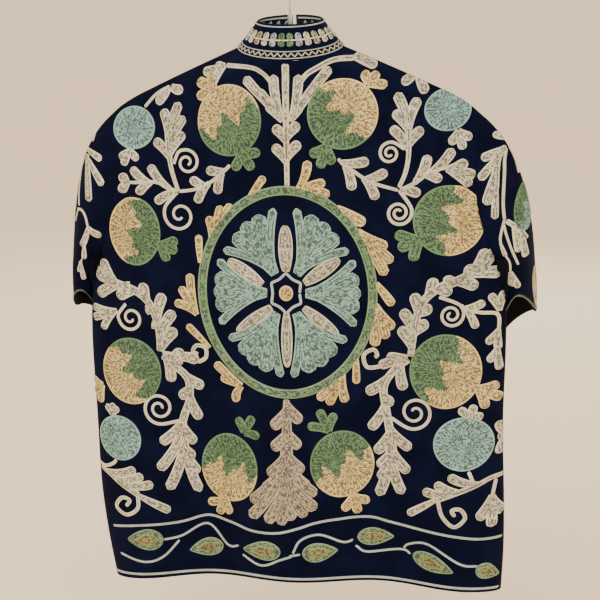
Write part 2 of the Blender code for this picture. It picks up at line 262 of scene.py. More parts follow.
@dataclass(frozen=True)
class JacketForm:
    """Sizes of the jacket and the surface of each of its pieces, as its solids have them, in metres."""

    wall: float = 0.0020
    seam: float = 0.0003
    neck_half_width: float = 0.068
    neck_drop: float = 0.116
    neck_depth: dict[Face, float] = field(default_factory=lambda: {Face.BACK: 0.046, Face.FRONT: 0.040})
    neck_dip: dict[Face, float] = field(default_factory=lambda: {Face.BACK: 0.015, Face.FRONT: 0.010})
    collar_half_width: float = 0.041
    collar_depth: float = 0.036
    collar_drop: dict[Face, float] = field(default_factory=lambda: {Face.BACK: 0.087, Face.FRONT: 0.077})
    collar_leave: float = 0.9
    collar_arrive: float = 1.1
    full_depth: dict[Face, float] = field(default_factory=lambda: {Face.BACK: 0.050, Face.FRONT: 0.037})
    hem_extra_depth: float = 0.006
    section_power: float = 2.2
    shoulder_roll: float = 0.045
    neck_swell_width: float = 0.075
    neck_swell_fall: float = 0.035
    hem_drop_middle: float = 0.805
    hem_drop_side: float = 0.827
    front_gap_neck: float = 0.007
    front_gap_hem: float = 0.044
    notional_half_width: float = 0.272
    underarm_drop: float = 0.386
    shoulder_drop: float = 0.203
    shoulder_out: float = 0.240
    armhole_closing_power: int = 3
    flute_fade_power: int = 4
    flutes: dict[Face, Flutes] = field(default_factory=lambda: {
        Face.BACK: Flutes(depth=0.013, width=0.236, shift=0.000, start=0.30),
        Face.FRONT: Flutes(depth=0.009, width=0.200, shift=0.035, start=0.45),
    })
    edges: dict[Hand, Curve] = field(default_factory=lambda: {
        Hand.LEFT: Curve((
            (0.203, 0.240), (0.250, 0.233), (0.300, 0.232), (0.345, 0.243), (0.386, 0.258), (0.432, 0.271),
            (0.490, 0.275), (0.600, 0.273), (0.700, 0.271), (0.770, 0.264), (0.827, 0.255),
        )),
        Hand.RIGHT: Curve((
            (0.203, 0.240), (0.250, 0.234), (0.300, 0.234), (0.345, 0.243), (0.386, 0.258), (0.432, 0.270),
            (0.490, 0.272), (0.600, 0.269), (0.700, 0.271), (0.770, 0.271), (0.827, 0.268),
        )),
    })
    ridge: Curve = Curve((
        (0.068, 0.116), (0.126, 0.141), (0.178, 0.1645), (0.206, 0.178), (0.225, 0.190), (0.240, 0.203),
    ))
    shoulder_point_thin: tuple[float, float] = (0.45, 0.90)
    underarm_thin: tuple[float, float] = (0.80, -0.60)
    creases: dict[Face, tuple[Crease, ...]] = field(default_factory=lambda: {
        Face.BACK: BACK_CREASES, Face.FRONT: FRONT_CREASES,
    })
    crease_clear: float = 0.012

    @property
    def side_length(self) -> float:
        """Length from the shoulder point down to the hem at the side."""
        return self.hem_drop_side - self.shoulder_drop

    @property
    def underarm(self) -> float:
        """Share of the way down at which the armhole ends."""
        return (self.underarm_drop - self.shoulder_drop) / self.side_length

    def half_width(self, hand: Hand, fall: float) -> float:
        """Half width of the cloth at a share of the way down."""
        return self.edges[hand].at(self.shoulder_drop + fall * self.side_length)

    def neck_share(self, out: float) -> float:
        """1 in the middle of the neck opening and 0 at its sides."""
        return math.sqrt(max(0.0, 1.0 - (out / self.neck_half_width) ** 2))

    def top_drop(self, face: Face, out: float) -> float:
        """Drop of the neckline or of the shoulder seam at a distance out."""
        if abs(out) < self.neck_half_width:
            return self.neck_drop + self.neck_dip[face] * self.neck_share(out)
        return self.ridge.at(abs(out))

    def flute(self, face: Face, out: float, fall: float, share: float) -> float:
        """How far a soft flute pushes the cloth out."""
        shape = self.flutes[face]
        grown = ease((fall - shape.start) / (1.0 - shape.start))
        fade = 1.0 - share**self.flute_fade_power
        return shape.depth * grown * fade * math.cos(math.tau * (abs(out) - shape.shift) / shape.width)

    def crease(self, face: Face, x: float, z: float) -> float:
        """How far the creases push the cloth out at a place.

        Args:
            face: Back or front.
            x: Place across, in metres.
            z: Height, in metres.

        Returns:
            The push in metres, outwards.
        """
        push = 0.0
        for row in self.creases[face]:
            start = Vector((row.x, row.z)) * MM
            run = Vector((row.to_x - row.x, row.to_z - row.z)) * MM
            here = Vector((x, z)) - start
            along = here.dot(run) / run.length_squared
            if -0.4 < along < 1.4:
                off = abs(here.cross(run)) / run.length / (row.width * MM)
                taper = math.exp(-((2.0 * along - 1.0) ** 4) * 1.2)
                push += row.depth * MM * taper * math.exp(-off * off * 2.0)
        return push

    def cloth_point(self, face: Face, hand: Hand, out_share: float, fall: float) -> Vector:
        """Outer point of a body panel.

        Args:
            face: Back or front.
            hand: Which half of the body.
            out_share: Share of the way from the middle out to the edge.
            fall: Share of the way from the top edge down to the hem.

        Returns:
            The point on the cloth's outside.
        """
        half_width = self.half_width(hand, fall)
        gap, top_gap = 0.0, 0.0
        if face is Face.FRONT:
            top_gap = self.front_gap_neck / 2
            gap = mix(self.front_gap_neck, self.front_gap_hem, fall) / 2
        out = mix(gap, half_width, out_share)
        top_out = mix(top_gap, self.shoulder_out, out_share)
        hem = mix(self.hem_drop_middle, self.hem_drop_side, out_share * out_share)
        low = mix(self.top_drop(face, top_out), hem, fall)
        body_width = half_width
        if fall < self.underarm:
            closing = (fall / self.underarm) ** self.armhole_closing_power
            body_width = mix(self.notional_half_width, self.half_width(hand, self.underarm), closing)
        depth_here = self.full_depth[face] + self.hem_extra_depth * fall
        rounded = max(0.0, 1.0 - (out / body_width) ** self.section_power)
        full = depth_here * rounded ** (1.0 / self.section_power)
        below = low - self.top_drop(face, top_out)
        soft = 1.0 / (1.0 + (top_out / self.neck_swell_width) ** 4)
        swell = mix(self.neck_share(top_out), soft, ease(below / self.neck_swell_fall))
        depth = mix(self.neck_depth[face] * swell, full, 1.0 - math.exp(-below / self.shoulder_roll))
        depth += self.flute(face, out, fall, out_share)
        free = ease((1.0 - out_share) * half_width / self.crease_clear) * ease(below / self.crease_clear)
        depth += free * self.crease(face, hand.value * out, -low)
        return Vector((hand.value * out, face.value * max(depth, self.seam / 2), -low))


Grid = list[list[Vector]]


def spans(points: Sequence[Vector]) -> list[float]:
    """Lengths between neighbouring points."""
    return [(b - a).length for a, b in zip(points, points[1:])]


def grid_normals(grid: Grid, wrap: bool = False) -> Grid:
    """Unit normals of a grid of points, from its neighbours along the rows and the columns.

    Args:
        grid: Rows of points.
        wrap: Whether the last column joins the first.

    Returns:
        A grid of unit vectors.
    """
    rows, columns = len(grid), len(grid[0])
    normals = []
    for r in range(rows):
        line = []
        for c in range(columns):
            up, down = grid[max(r - 1, 0)][c], grid[min(r + 1, rows - 1)][c]
            if wrap:
                before, after = grid[r][c - 1], grid[r][(c + 1) % columns]
            else:
                before, after = grid[r][max(c - 1, 0)], grid[r][min(c + 1, columns - 1)]
            line.append((after - before).cross(down - up).normalized())
        normals.append(line)
    return normals


@dataclass
class Cut:
    """Points of one cut piece of cloth: its outside and its inside.

    Args:
        outer: Outer points, row by row from the top edge down.
        inner: Inner points, in the same order.
        wrap: Whether the last column joins the first, as on a sleeve.
    """

    outer: Grid
    inner: Grid
    wrap: bool = False

    def area(self) -> float:
        """Area of the outside in square metres."""
        total = 0.0
        rows, columns = len(self.outer), len(self.outer[0])
        for r in range(rows - 1):
            for c in range(columns if self.wrap else columns - 1):
                d = (c + 1) % columns
                a, b = self.outer[r][c], self.outer[r][d]
                e, f = self.outer[r + 1][d], self.outer[r + 1][c]
                total += ((e - a).cross(f - b)).length / 2
        return total


@dataclass
class Pattern:
    """Lays out the cut pieces on the jacket's form.

    Args:
        form: The jacket's sizes and surface.
        neck_columns: Columns of points from the middle to the side of the neck.
        shoulder_columns: Columns from there to the shoulder point.
        armhole_rows: Rows along the armhole.
        armhole_row_power: How much closer they lie at the shoulder.
        side_rows: Rows along the side seam.
        sleeve_rows: Rows along a sleeve.
        collar_rows: Rows up the collar.
        cuff_out: Place of the cuff's middle, out from the body's.
        cuff_forward: How far forward that place is.
        cuff_half_width: Half width of the cuff.
        cuff_half_depth: Half of it from back to front.
        cuff_turn_in: How far its front turns towards the body.
        cuff_drop: Its drop at the top, the back, the underside and the front.
        leave: Aims out, forward and down with which the sleeve leaves the armhole at those four places.
        arrive: Aims with which it reaches the cuff there.
    """

    form: JacketForm
    neck_columns: int = 14
    shoulder_columns: int = 36
    armhole_rows: int = 30
    armhole_row_power: float = 1.6
    side_rows: int = 46
    sleeve_rows: int = 34
    collar_rows: int = 10
    cuff_out: float = 0.287
    cuff_forward: float = 0.060
    cuff_half_width: float = 0.023
    cuff_half_depth: float = 0.065
    cuff_turn_in: float = 0.034
    cuff_drop: tuple[float, ...] = (0.464, 0.433, 0.487, 0.520)
    leave: tuple[tuple[float, ...], ...] = (
        (0.205, 0.040, 0.170), (0.115, 0.009, 0.133), (0.141, 0.010, 0.024), (0.087, 0.076, 0.078),
    )
    arrive: tuple[tuple[float, ...], ...] = (
        (0.010, 0.020, 0.240), (-0.015, 0.029, 0.109), (0.010, 0.049, 0.079), (-0.016, 0.024, 0.153),
    )

    def fall_rows(self) -> list[float]:
        """Shares of the way down a panel: the armhole's rows, then the side's."""
        under = self.form.underarm
        shares = [i / self.armhole_rows for i in range(self.armhole_rows + 1)]
        rows = [under * share**self.armhole_row_power for share in shares]
        return rows + [mix(under, 1.0, i / self.side_rows) for i in range(1, self.side_rows + 1)]

    def out_columns(self, face: Face) -> list[float]:
        """Shares of the way out: the neck's columns up to its side, then the shoulder's."""
        form = self.form
        gap = form.front_gap_neck / 2 if face is Face.FRONT else 0.0
        first = math.asin(gap / form.neck_half_width)
        turns = [mix(first, math.pi / 2, i / self.neck_columns) for i in range(self.neck_columns + 1)]
        outs = [form.neck_half_width * math.sin(turn) for turn in turns]
        steps = range(1, self.shoulder_columns + 1)
        spread = [math.sin(math.pi / 2 * i / self.shoulder_columns) for i in steps]
        outs += [mix(form.neck_half_width, form.shoulder_out, share) for share in spread]
        return [(out - gap) / (form.shoulder_out - gap) for out in outs]

    def half_panel(self, face: Face, hand: Hand) -> Cut:
        """Outer and inner points of half a panel, from its middle out to the side.

        Args:
            face: Back or front.
            hand: Which half.

        Returns:
            The cut piece.
        """
        form = self.form
        columns, rows = self.out_columns(face), self.fall_rows()
        outer = [[form.cloth_point(face, hand, out, fall) for out in columns] for fall in rows]
        normals = grid_normals(outer)
        last = len(columns) - 1
        inner = []
        for r, fall in enumerate(rows):
            line = []
            for c, point in enumerate(outer[r]):
                normal = normals[r][c]
                if normal.y * face.value < 0:
                    normal = -normal
                if face is Face.BACK and c == 0:
                    normal = Vector((0.0, normal.y, normal.z)).normalized()
                if r == 0 and c == last:
                    side, up = form.shoulder_point_thin
                    normal = Vector((side * hand.value, 0.0, up)).normalized()
                elif r == 0 and c >= self.neck_columns:
                    normal = Vector((0.0, 0.0, 1.0))
                elif c == last and r == self.armhole_rows:
                    normal = Vector((form.underarm_thin[0] * hand.value, 0.0, form.underarm_thin[1]))
                elif c == last and fall > form.underarm:
                    normal = Vector((hand.value, 0.0, 0.0))
                below = point - normal * form.wall
                if below.y * face.value < form.seam / 2:
                    below.y = face.value * form.seam / 2
                line.append(below)
            inner.append(line)
        return Cut(outer, inner)

    def back(self) -> Cut:
        """The whole back, from its left side to its right."""
        left, right = self.half_panel(Face.BACK, Hand.LEFT), self.half_panel(Face.BACK, Hand.RIGHT)

        def joined(one: Grid, other: Grid) -> Grid:
            return [list(reversed(a))[:-1] + b for a, b in zip(one, other)]

        return Cut(joined(left.outer, right.outer), joined(left.inner, right.inner))

    def armhole_ring(self, hand: Hand) -> tuple[list[Vector], list[Vector]]:
        """Points round the armhole, a seam gap off the panels.

        Args:
            hand: Which sleeve.

        Returns:
            Outer and inner points, down the back edge and up the front edge.
        """
        form, last = self.form, self.armhole_rows
        sides = {}
        for face in Face:
            cut = self.half_panel(face, hand)
            sides[face] = [(cut.outer[r][-1], cut.inner[r][-1], cut.outer[r][-2]) for r in range(last + 1)]
        ring = sides[Face.BACK] + list(reversed(sides[Face.FRONT][1:-1]))
        outer_ring, inner_ring = [], []
        for i, (outer, inner, before) in enumerate(ring):
            away = outer - before
            if i in (0, last):
                away.y = 0.0
            step = away.normalized() * form.seam
            outer, inner = outer + step, inner + step
            if i in (0, last):
                outer.y = inner.y = 0.0
            outer_ring.append(outer)
            inner_ring.append(inner)
        return outer_ring, inner_ring

    def ring_turns(self, ring: list[Vector]) -> list[float]:
        """Turn of each point round the armhole by its length, with the underarm at half a turn."""
        count, half = len(ring), self.armhole_rows
        steps = spans([*ring, ring[0]])
        down, up = sum(steps[:half]), sum(steps[half:])
        turns, run = [], 0.0
        for i in range(count):
            turns.append(math.pi * run / down if i <= half else math.pi * (1.0 + (run - down) / up))
            run += steps[i]
        return turns

    @staticmethod
    def round_mix(values: Sequence[float], turn: float) -> float:
        """Value at a turn, blended from those at the sleeve's top, back, underside and front."""
        across, back = math.cos(turn), math.sin(turn)
        shares = (max(across, 0.0) ** 2, max(back, 0.0) ** 2, min(across, 0.0) ** 2, min(back, 0.0) ** 2)
        return sum(share * value for share, value in zip(shares, values))

    def round_aim(self, aims: tuple[tuple[float, ...], ...], hand: Hand, turn: float) -> Vector:
        """Direction of the sleeve at a turn, blended from the four places round it."""
        out, forward, down = (self.round_mix([aim[k] for aim in aims], turn) for k in range(3))
        return Vector((hand.value * out, forward, -down))

    def sleeve(self, hand: Hand) -> Cut:
        """A whole sleeve, from the armhole down to the cuff.

        Args:
            hand: Which sleeve.

        Returns:
            The cut piece, wrapped round.
        """
        outer_ring, inner_ring = self.armhole_ring(hand)
        turns = self.ring_turns(outer_ring)
        outer = []
        for r in range(self.sleeve_rows + 1):
            line = []
            for start, turn in zip(outer_ring, turns):
                across, back = math.cos(turn), math.sin(turn)
                out = self.cuff_out + self.cuff_half_width * across - self.cuff_turn_in * ease(-back)
                cuff = Vector((
                    hand.value * out,
                    self.cuff_forward - self.cuff_half_depth * back,
                    -self.round_mix(self.cuff_drop, turn),
                ))
                leave = self.round_aim(self.leave, hand, turn)
                arrive = self.round_aim(self.arrive, hand, turn)
                line.append(hermite(start, leave, cuff, arrive, r / self.sleeve_rows))
            outer.append(line)
        normals = grid_normals(outer, wrap=True)
        middle = sum(outer[-1], Vector()) / len(outer[-1])
        flip = -1.0 if normals[-1][0].dot(outer[-1][0] - middle) < 0 else 1.0
        inner = [inner_ring]
        for line, line_normals in zip(outer[1:], normals[1:]):
            inner.append([p - n * flip * self.form.wall for p, n in zip(line, line_normals)])
        return Cut(outer, inner, wrap=True)

    def collar(self) -> Cut:
        """The stand collar, from one front end round the back to the other, row by row upwards.

        Returns:
            The cut piece.
        """
        form = self.form
        base = []
        order = (
            (Face.FRONT, Hand.LEFT, False), (Face.BACK, Hand.LEFT, True),
            (Face.BACK, Hand.RIGHT, False), (Face.FRONT, Hand.RIGHT, True),
        )
        for face, hand, backwards in order:
            cut = self.half_panel(face, hand)
            arc = [(face, cut.outer[0][c], cut.inner[0][c]) for c in range(self.neck_columns + 1)]
            if backwards:
                arc.reverse()
            base += arc if not base else arc[1:]
        middle_drop = mix(form.collar_drop[Face.BACK], form.collar_drop[Face.FRONT], 0.5)
        outer_grid, inner_grid = [], []
        for r in range(self.collar_rows + 1):
            share = r / self.collar_rows
            outer_line, inner_line = [], []
            for face, outer, inner in base:
                depth_share = form.neck_share(outer.x)
                top = Vector((
                    form.collar_half_width * outer.x / form.neck_half_width,
                    face.value * form.collar_depth * depth_share,
                    -mix(middle_drop, form.collar_drop[face], depth_share),
                ))
                lift = Vector((0.0, 0.0, form.seam))
                if abs(abs(outer.x) - form.neck_half_width) < form.seam:
                    outer, inner = outer.copy(), inner.copy()
                    outer.y = inner.y = 0.0
                bottom = outer + lift
                rise = top - bottom
                point = hermite(bottom, rise * form.collar_leave, top, rise * form.collar_arrive, share)
                into = Vector((-point.x, -point.y, 0.0)).normalized() * form.wall
                thin = (inner + lift).lerp(bottom + into, ease(share * 2.0)) - bottom
                outer_line.append(point)
                inner_line.append(point + thin)
            outer_grid.append(outer_line)
            inner_grid.append(inner_line)
        return Cut(outer_grid, inner_grid)


Verts = list[bmesh.types.BMVert]


def lay_grid(form: bmesh.types.BMesh, rows: int, columns: int) -> Verts:
    """Adds a grid of faces to a mesh and gives its vertices row by row."""
    return bmesh.ops.create_grid(form, x_segments=columns - 1, y_segments=rows - 1, size=0.5)["verts"]


class Tailor:
    """Makes the meshes of the cut pieces."""

    @staticmethod
    def sheet(form: bmesh.types.BMesh, points: Grid, lining: int) -> Verts:
        """Lays a grid of faces over points.

        Args:
            form: The mesh to add to.
            points: Rows of points.
            lining: Material index of the faces.

        Returns:
            The new vertices, row by row.
        """
        columns = len(points[0])
        before = len(form.faces)
        verts = lay_grid(form, len(points), columns)
        for i, vert in enumerate(verts):
            vert.co = points[i // columns][i % columns]
        form.faces.ensure_lookup_table()
        for face in form.faces[before:]:
            face.material_index = lining
        return verts

    def sew(self, name: str, cut: Cut, finishes: Sequence[bpy.types.Material]) -> bpy.types.Object:
        """Closes a cut piece into a wall with an outside, an inside and turned edges.

        Args:
            name: Name of the piece.
            cut: Its points.
            finishes: Materials of the outside and the inside.

        Returns:
            The finished object.
        """
        form = bmesh.new()
        edges: list[Verts] = []
        for lining, grid in enumerate((cut.outer, cut.inner)):
            closed = [row + row[:1] for row in grid] if cut.wrap else grid
            columns = len(closed[0])
            verts = self.sheet(form, closed, lining)
            edges.append(verts[:columns])
            edges.append(verts[-columns:])
        if cut.wrap:
            self.bridge(form, edges[0], edges[2])
            self.bridge(form, edges[1], edges[3])
        else:
            rim = [edge for edge in form.edges if edge.is_boundary]
            bmesh.ops.bridge_loops(form, edges=rim)
        bmesh.ops.remove_doubles(form, verts=form.verts, dist=1e-6)
        bmesh.ops.recalc_face_normals(form, faces=form.faces)
        return finish_piece(name, form, finishes)

    @staticmethod
    def bridge(form: bmesh.types.BMesh, one: Verts, other: Verts) -> None:
        """Joins two rows of vertices with a strip of faces.

        Args:
            form: The mesh.
            one: Vertices of the first row.
            other: Vertices of the second row.
        """
        edges = []
        for row in (one, other):
            edges += [edge for a, b in zip(row, row[1:]) if (edge := form.edges.get((a, b)))]
        bmesh.ops.bridge_loops(form, edges=edges)


def finish_piece(
    name: str, form: bmesh.types.BMesh, finishes: Sequence[bpy.types.Material],
) -> bpy.types.Object:
    """Turns a bmesh into a shaded object of the scene.

    Args:
        name: Name of the object and its mesh.
        form: The bmesh, which is freed.
        finishes: Its materials in order.

    Returns:
        The object.
    """
    mesh = bpy.data.meshes.new(name)
    form.to_mesh(mesh)
    form.free()
    mesh.shade_smooth()
    mesh.set_sharp_from_angle(angle=math.radians(SMOOTH_UP_TO))
    for finish in finishes:
        mesh.materials.append(finish)
    piece = bpy.data.objects.new(name, mesh)
    bpy.context.scene.collection.objects.link(piece)
    return piece


class Thread(Enum):
    """Thread colours, as linear red, green and blue."""

    BEIGE = (0.750, 0.715, 0.535)
    SAND = (0.540, 0.470, 0.330)
    GOLD = (0.840, 0.655, 0.270)
    TEAL = (0.300, 0.530, 0.500)
    FAN = (0.300, 0.520, 0.450)
    GREEN = (0.150, 0.275, 0.135)
    RING = (0.200, 0.330, 0.180)
    LEAF = (0.250, 0.370, 0.210)
    OLIVE = (0.330, 0.310, 0.120)
    PALE = (0.440, 0.520, 0.520)
    PINK = (0.680, 0.600, 0.470)


Place = tuple[float, float]


@dataclass
class Patch:
    """A worked patch of embroidery: a grid of places on the cloth with its rows of stitches.

    Args:
        places: Across and up of each point on the cloth, in metres.
        along: Length along the row of stitches at each point.
        edge: Distance from the patch's outline at each point, across the rows.
        height: How far each point stands off the cloth.
        threads: Thread of each face, or one for all.
    """

    places: np.ndarray
    along: np.ndarray
    edge: np.ndarray
    height: np.ndarray
    threads: Thread | list[list[Thread]]


class Ground:
    """A surface that carries embroidery."""

    def lift(self, a: float, b: float, height: float) -> Vector | None:
        """Point of the surface at a place, raised by a height, or None off its edge."""
        raise NotImplementedError


@dataclass
class PanelGround(Ground):
    """A body panel, whose places are X and Z.

    Args:
        piece: The panel's object.
        face: Back or front.
        facing: Least part of a normal that has to face the embroiderer.
    """

    piece: bpy.types.Object
    face: Face
    facing: float = 0.12

    def __post_init__(self) -> None:
        """Keeps the outside of the panel to be looked up."""
        mesh = self.piece.data
        polygons = [tuple(p.vertices) for p in mesh.polygons if p.material_index == 0]
        self.tree = BVHTree.FromPolygons([v.co for v in mesh.vertices], polygons)

    def lift(self, a: float, b: float, height: float) -> Vector | None:
        """Point of the panel seen square on at a place, raised by a height."""
        toward = self.face.value
        spot, normal, _, _ = self.tree.ray_cast(Vector((a, toward, b)), Vector((0.0, -toward, 0.0)))
        if spot is None or normal.y * toward < self.facing:
            return None
        return spot + normal * height


@dataclass
class GridGround(Ground):
    """A sleeve or collar, whose places are lengths round it and down it.

    Args:
        grid: Outer points, row by row.
        wrap: Whether it closes round.
        round_length: Length that stands for the whole way round.
        down_length: Length that stands for all the rows.
        stations: Share of the way round at each column, and 1 for the seam if it closes round.
    """

    grid: Grid
    wrap: bool
    round_length: float
    down_length: float
    stations: list[float]

    def __post_init__(self) -> None:
        """Works out the outward normals."""
        self.normals = grid_normals(self.grid, self.wrap)
        low = self.grid[len(self.grid) // 2]
        middle = sum(low, Vector()) / len(low)
        at = len(low) // 4
        inward = self.normals[len(self.grid) // 2][at].dot(low[at] - middle) < 0
        self.flip = -1.0 if inward else 1.0

    def lift(self, a: float, b: float, height: float) -> Vector | None:
        """Point of the surface at a place, raised by a height."""
        rows, columns = len(self.grid), len(self.grid[0])
        down = b / self.down_length * (rows - 1)
        share = a / self.round_length
        if self.wrap:
            share %= 1.0
        if not 0.0 <= down <= rows - 1 or not 0.0 <= share <= 1.0:
            return None
        r = min(int(down), rows - 2)
        c = min(int(np.searchsorted(self.stations, share, side="right")) - 1, len(self.stations) - 2)
        u = (share - self.stations[c]) / (self.stations[c + 1] - self.stations[c])
        v = down - r
        left, right = c % columns, (c + 1) % columns

        def between(grid: Grid) -> Vector:
            upper = grid[r][left].lerp(grid[r][right], u)
            return upper.lerp(grid[r + 1][left].lerp(grid[r + 1][right], u), v)

        return between(self.grid) + between(self.normals).normalized() * self.flip * height


@dataclass
class Needle:
    """Works motifs as patches of chain stitch.

    Args:
        relief: How far the middle of a worked band stands off the cloth.
        neck: Width of a lobe at its root, as a share of its full width.
        across: Places of a band's points across it, as shares of its half width.
        patches: The patches worked so far.
    """

    relief: float = 0.0010
    neck: float = 0.52
    across: tuple[float, ...] = (-1.0, -0.84, -0.42, 0.0, 0.42, 0.84, 1.0)
    patches: list[Patch] = field(default_factory=list)

    def band(self, line: np.ndarray, half: np.ndarray, thread: Thread, lift: float = 0.0) -> None:
        """Works a band of changing width along a line.

        Args:
            line: Points of its middle, in metres.
            half: Half width at each point.
            thread: Its thread.
            lift: How much higher than the others it stands.
        """
        aim = np.gradient(line, axis=0)
        aim /= np.maximum(np.linalg.norm(aim, axis=1, keepdims=True), 1e-9)
        normal = np.stack([-aim[:, 1], aim[:, 0]], axis=1)
        share = np.array(self.across)
        places = line[:, None, :] + normal[:, None, :] * (half[:, None] * share)[:, :, None]
        steps = np.linalg.norm(np.diff(line, axis=0), axis=1)
        along = np.concatenate([[0.0], np.cumsum(steps)])[:, None] + np.zeros(len(share))
        edge = half[:, None] * (1.0 - np.abs(share))
        crown = np.sqrt(np.maximum(0.0, 1.0 - np.abs(share) ** 2.6))
        height = (self.relief + lift) * crown + np.zeros((len(line), 1))
        height[:, 0] = height[:, -1] = -TUCK
        height[0] = height[-1] = -TUCK
        self.patches.append(Patch(places, along, edge, height, thread))

    @staticmethod
    def bend(start: Sequence[float], end: Sequence[float], bow: float, count: int) -> np.ndarray:
        """Points of an arc between two places.

        Args:
            start: First place in metres.
            end: Last place.
            bow: How far its middle leaves the straight line, as a share of its length.
            count: How many points.

        Returns:
            The points.
        """
        a, b = np.array(start, float), np.array(end, float)
        t = np.linspace(0.0, 1.0, count)[:, None]
        side = np.array([-(b - a)[1], (b - a)[0]])
        return a + (b - a) * t + side * bow * 4.0 * t * (1.0 - t)

    @staticmethod
    def through(points: Sequence[Sequence[float]], step: float = 0.004) -> np.ndarray:
        """Smooth line through a few places, in metres."""
        given = np.array(points, float)
        held = np.vstack([2 * given[0] - given[1], given, 2 * given[-1] - given[-2]])
        line = []
        for before, start, end, after in zip(held, held[1:], held[2:], held[3:]):
            square = 2 * before - 5 * start + 4 * end - after
            cube = 3 * start - before - 3 * end + after
            count = max(2, int(np.linalg.norm(end - start) / step))
            for t in np.linspace(0.0, 1.0, count, endpoint=False):
                line.append(0.5 * (2 * start + (end - before) * t + square * t**2 + cube * t**3))
        return np.array([*line, given[-1]])

    def lobe(
        self, root: Sequence[float], tip: Sequence[float], width: float, thread: Thread,
        bow: float = 0.0, point: float = 0.0,
    ) -> None:
        """Works one lobe of a leaf, narrow at its root and round or pointed at its tip.

        Args:
            root: Where it leaves the spine, in metres.
            tip: Its far end.
            width: Its full width.
            thread: Its thread.
            bow: How much it bends.
            point: 0 for a round tip and 1 for a pointed one.
        """
        count = 15
        line = self.bend(root, tip, bow, count)
        length = max(float(np.linalg.norm(np.array(tip) - np.array(root))), 1e-6)
        t = np.linspace(0.0, 1.0, count)
        cap = min(0.5, 0.52 * width / length)
        body = self.neck + (1.0 - self.neck) * np.sin(math.pi / 2 * np.clip(t / (1.0 - cap), 0, 1))
        rounded = np.where(t > 1 - cap, np.sqrt(np.maximum(0, 1 - ((t - 1 + cap) / cap) ** 2)), 1.0)
        pointed = np.sin(math.pi * np.clip(t * 0.90 + 0.07, 0, 1)) ** 0.62
        half = 0.5 * width * (body * rounded * (1 - point) + pointed * point)
        self.band(line, np.maximum(half, 1e-5), thread)

    def blade(
        self, base: np.ndarray, tip: np.ndarray, width: float, thread: Thread, lift: float = 0.0,
    ) -> None:
        """Works a leaf blade that is broad near its base and pointed at both ends.

        Args:
            base: Where it starts, in metres.
            tip: Its far end.
            width: Its full width.
            thread: Its thread.
            lift: How much higher than the others it stands.
        """
        count = 19
        line = self.bend(base, tip, 0.0, count)
        t = np.linspace(0.0, 1.0, count)
        half = width / 2 * np.sin(math.pi * t**0.74) ** 0.80
        self.band(line, np.maximum(half, 1e-5), thread, lift)

    def stem(
        self, points: Sequence[Place], width: float, thread: Thread, lift: float = 0.0, growth: float = 1.0,
    ) -> None:
        """Works a stem through a few places.

        Args:
            points: The places, in metres.
            width: Its width at its start.
            thread: Its thread.
            lift: How much higher than the others it stands.
            growth: Its width at its end as a share of that at its start.
        """
        line = self.through(points, 0.0026)
        half = width / 2 * np.linspace(1.0, growth, len(line))
        half[[0, -1]] *= 0.55
        self.band(line, half, thread, lift)

    def spiral(
        self, centre: Place, radius: float, start: float, turns: float, width: float, thread: Thread,
        lead: Sequence[Place],
    ) -> None:
        """Works a curl that winds inwards.

        Args:
            centre: Its middle, in metres.
            radius: Radius at its outside.
            start: Direction of its first point from the middle, in degrees.
            turns: Turns inwards, negative clockwise.
            width: Width of the line.
            thread: Its thread.
            lead: Places that lead to it.
        """
        count, heart = 22, 0.16
        angles = math.radians(start) + np.linspace(0.0, turns * math.tau, count)
        radii = np.linspace(radius, radius * heart, count)
        curl = np.stack([centre[0] + radii * np.cos(angles), centre[1] + radii * np.sin(angles)], axis=1)
        line = self.through([*lead, *curl], 0.003)
        half = np.full(len(line), width / 2) * np.linspace(1.12, 0.86, len(line))
        self.band(line, half, thread)

    def ring(self, centre: Sequence[float], radii: Sequence[float], width: float, thread: Thread) -> None:
        """Works a closed band round an oval."""
        count, lift = 129, 0.0003
        angles = np.linspace(0.0, math.tau, count)
        x, z = centre[0] + radii[0] * np.cos(angles), centre[1] + radii[1] * np.sin(angles)
        self.band(np.stack([x, z], axis=1), np.full(count, width / 2), thread, lift)
        height = self.patches[-1].height
        height[0] = height[-1] = height[1]

    def disc(
        self, centre: Sequence[float], radii: Sequence[float], pick: Callable[[float, float], Thread],
        heart: float = 0.34,
    ) -> None:
        """Works a round fruit: an outline, a wide zone of rows that run inwards, and a heart of rings.

        Args:
            centre: Its middle, in metres.
            radii: Its half width and half height.
            pick: Gives the thread at a place inside, as shares of the radii.
            heart: Share of the radius that the heart takes.
        """
        columns = 84
        mean = (radii[0] + radii[1]) / 2
        rim = 1.0 - 1.15 * ROW / mean
        zones = (
            (np.array([1.0, 0.985, (1 + rim) / 2, rim]), False),
            (np.linspace(rim, heart, 13), True),
            (np.linspace(heart, 0.004, 7), False),
        )
        rays = round(math.tau * mean * 0.70 / ROW)
        angles = np.linspace(0.0, math.tau, columns + 1)
        middle_angles = (angles[:-1] + angles[1:]) / 2
        for shares, inward in zones:
            x = radii[0] * shares[:, None] * np.cos(angles)
            z = radii[1] * shares[:, None] * np.sin(angles)
            places = np.stack([centre[0] + x, centre[1] + z], axis=2)
            depth = (1.0 - shares)[:, None] * mean + np.zeros(columns + 1)
            round_length = angles * rays * ROW / math.tau + 10.0 * ROW + np.zeros((len(shares), 1))
            ring_length = angles * mean * shares[:, None]
            along, edge = (depth, round_length) if inward else (ring_length, depth)
            height = self.relief * (0.75 + 0.75 * np.sqrt(np.maximum(0.0, 1.0 - shares**2)))[:, None]
            height = height + np.zeros(columns + 1)
            if shares[0] == 1.0:
                height[0] = -TUCK
            threads = [
                [pick(share * math.cos(angle), share * math.sin(angle)) for angle in middle_angles]
                for share in (shares[:-1] + shares[1:]) / 2
            ]
            self.patches.append(Patch(places, along, edge, height, threads))


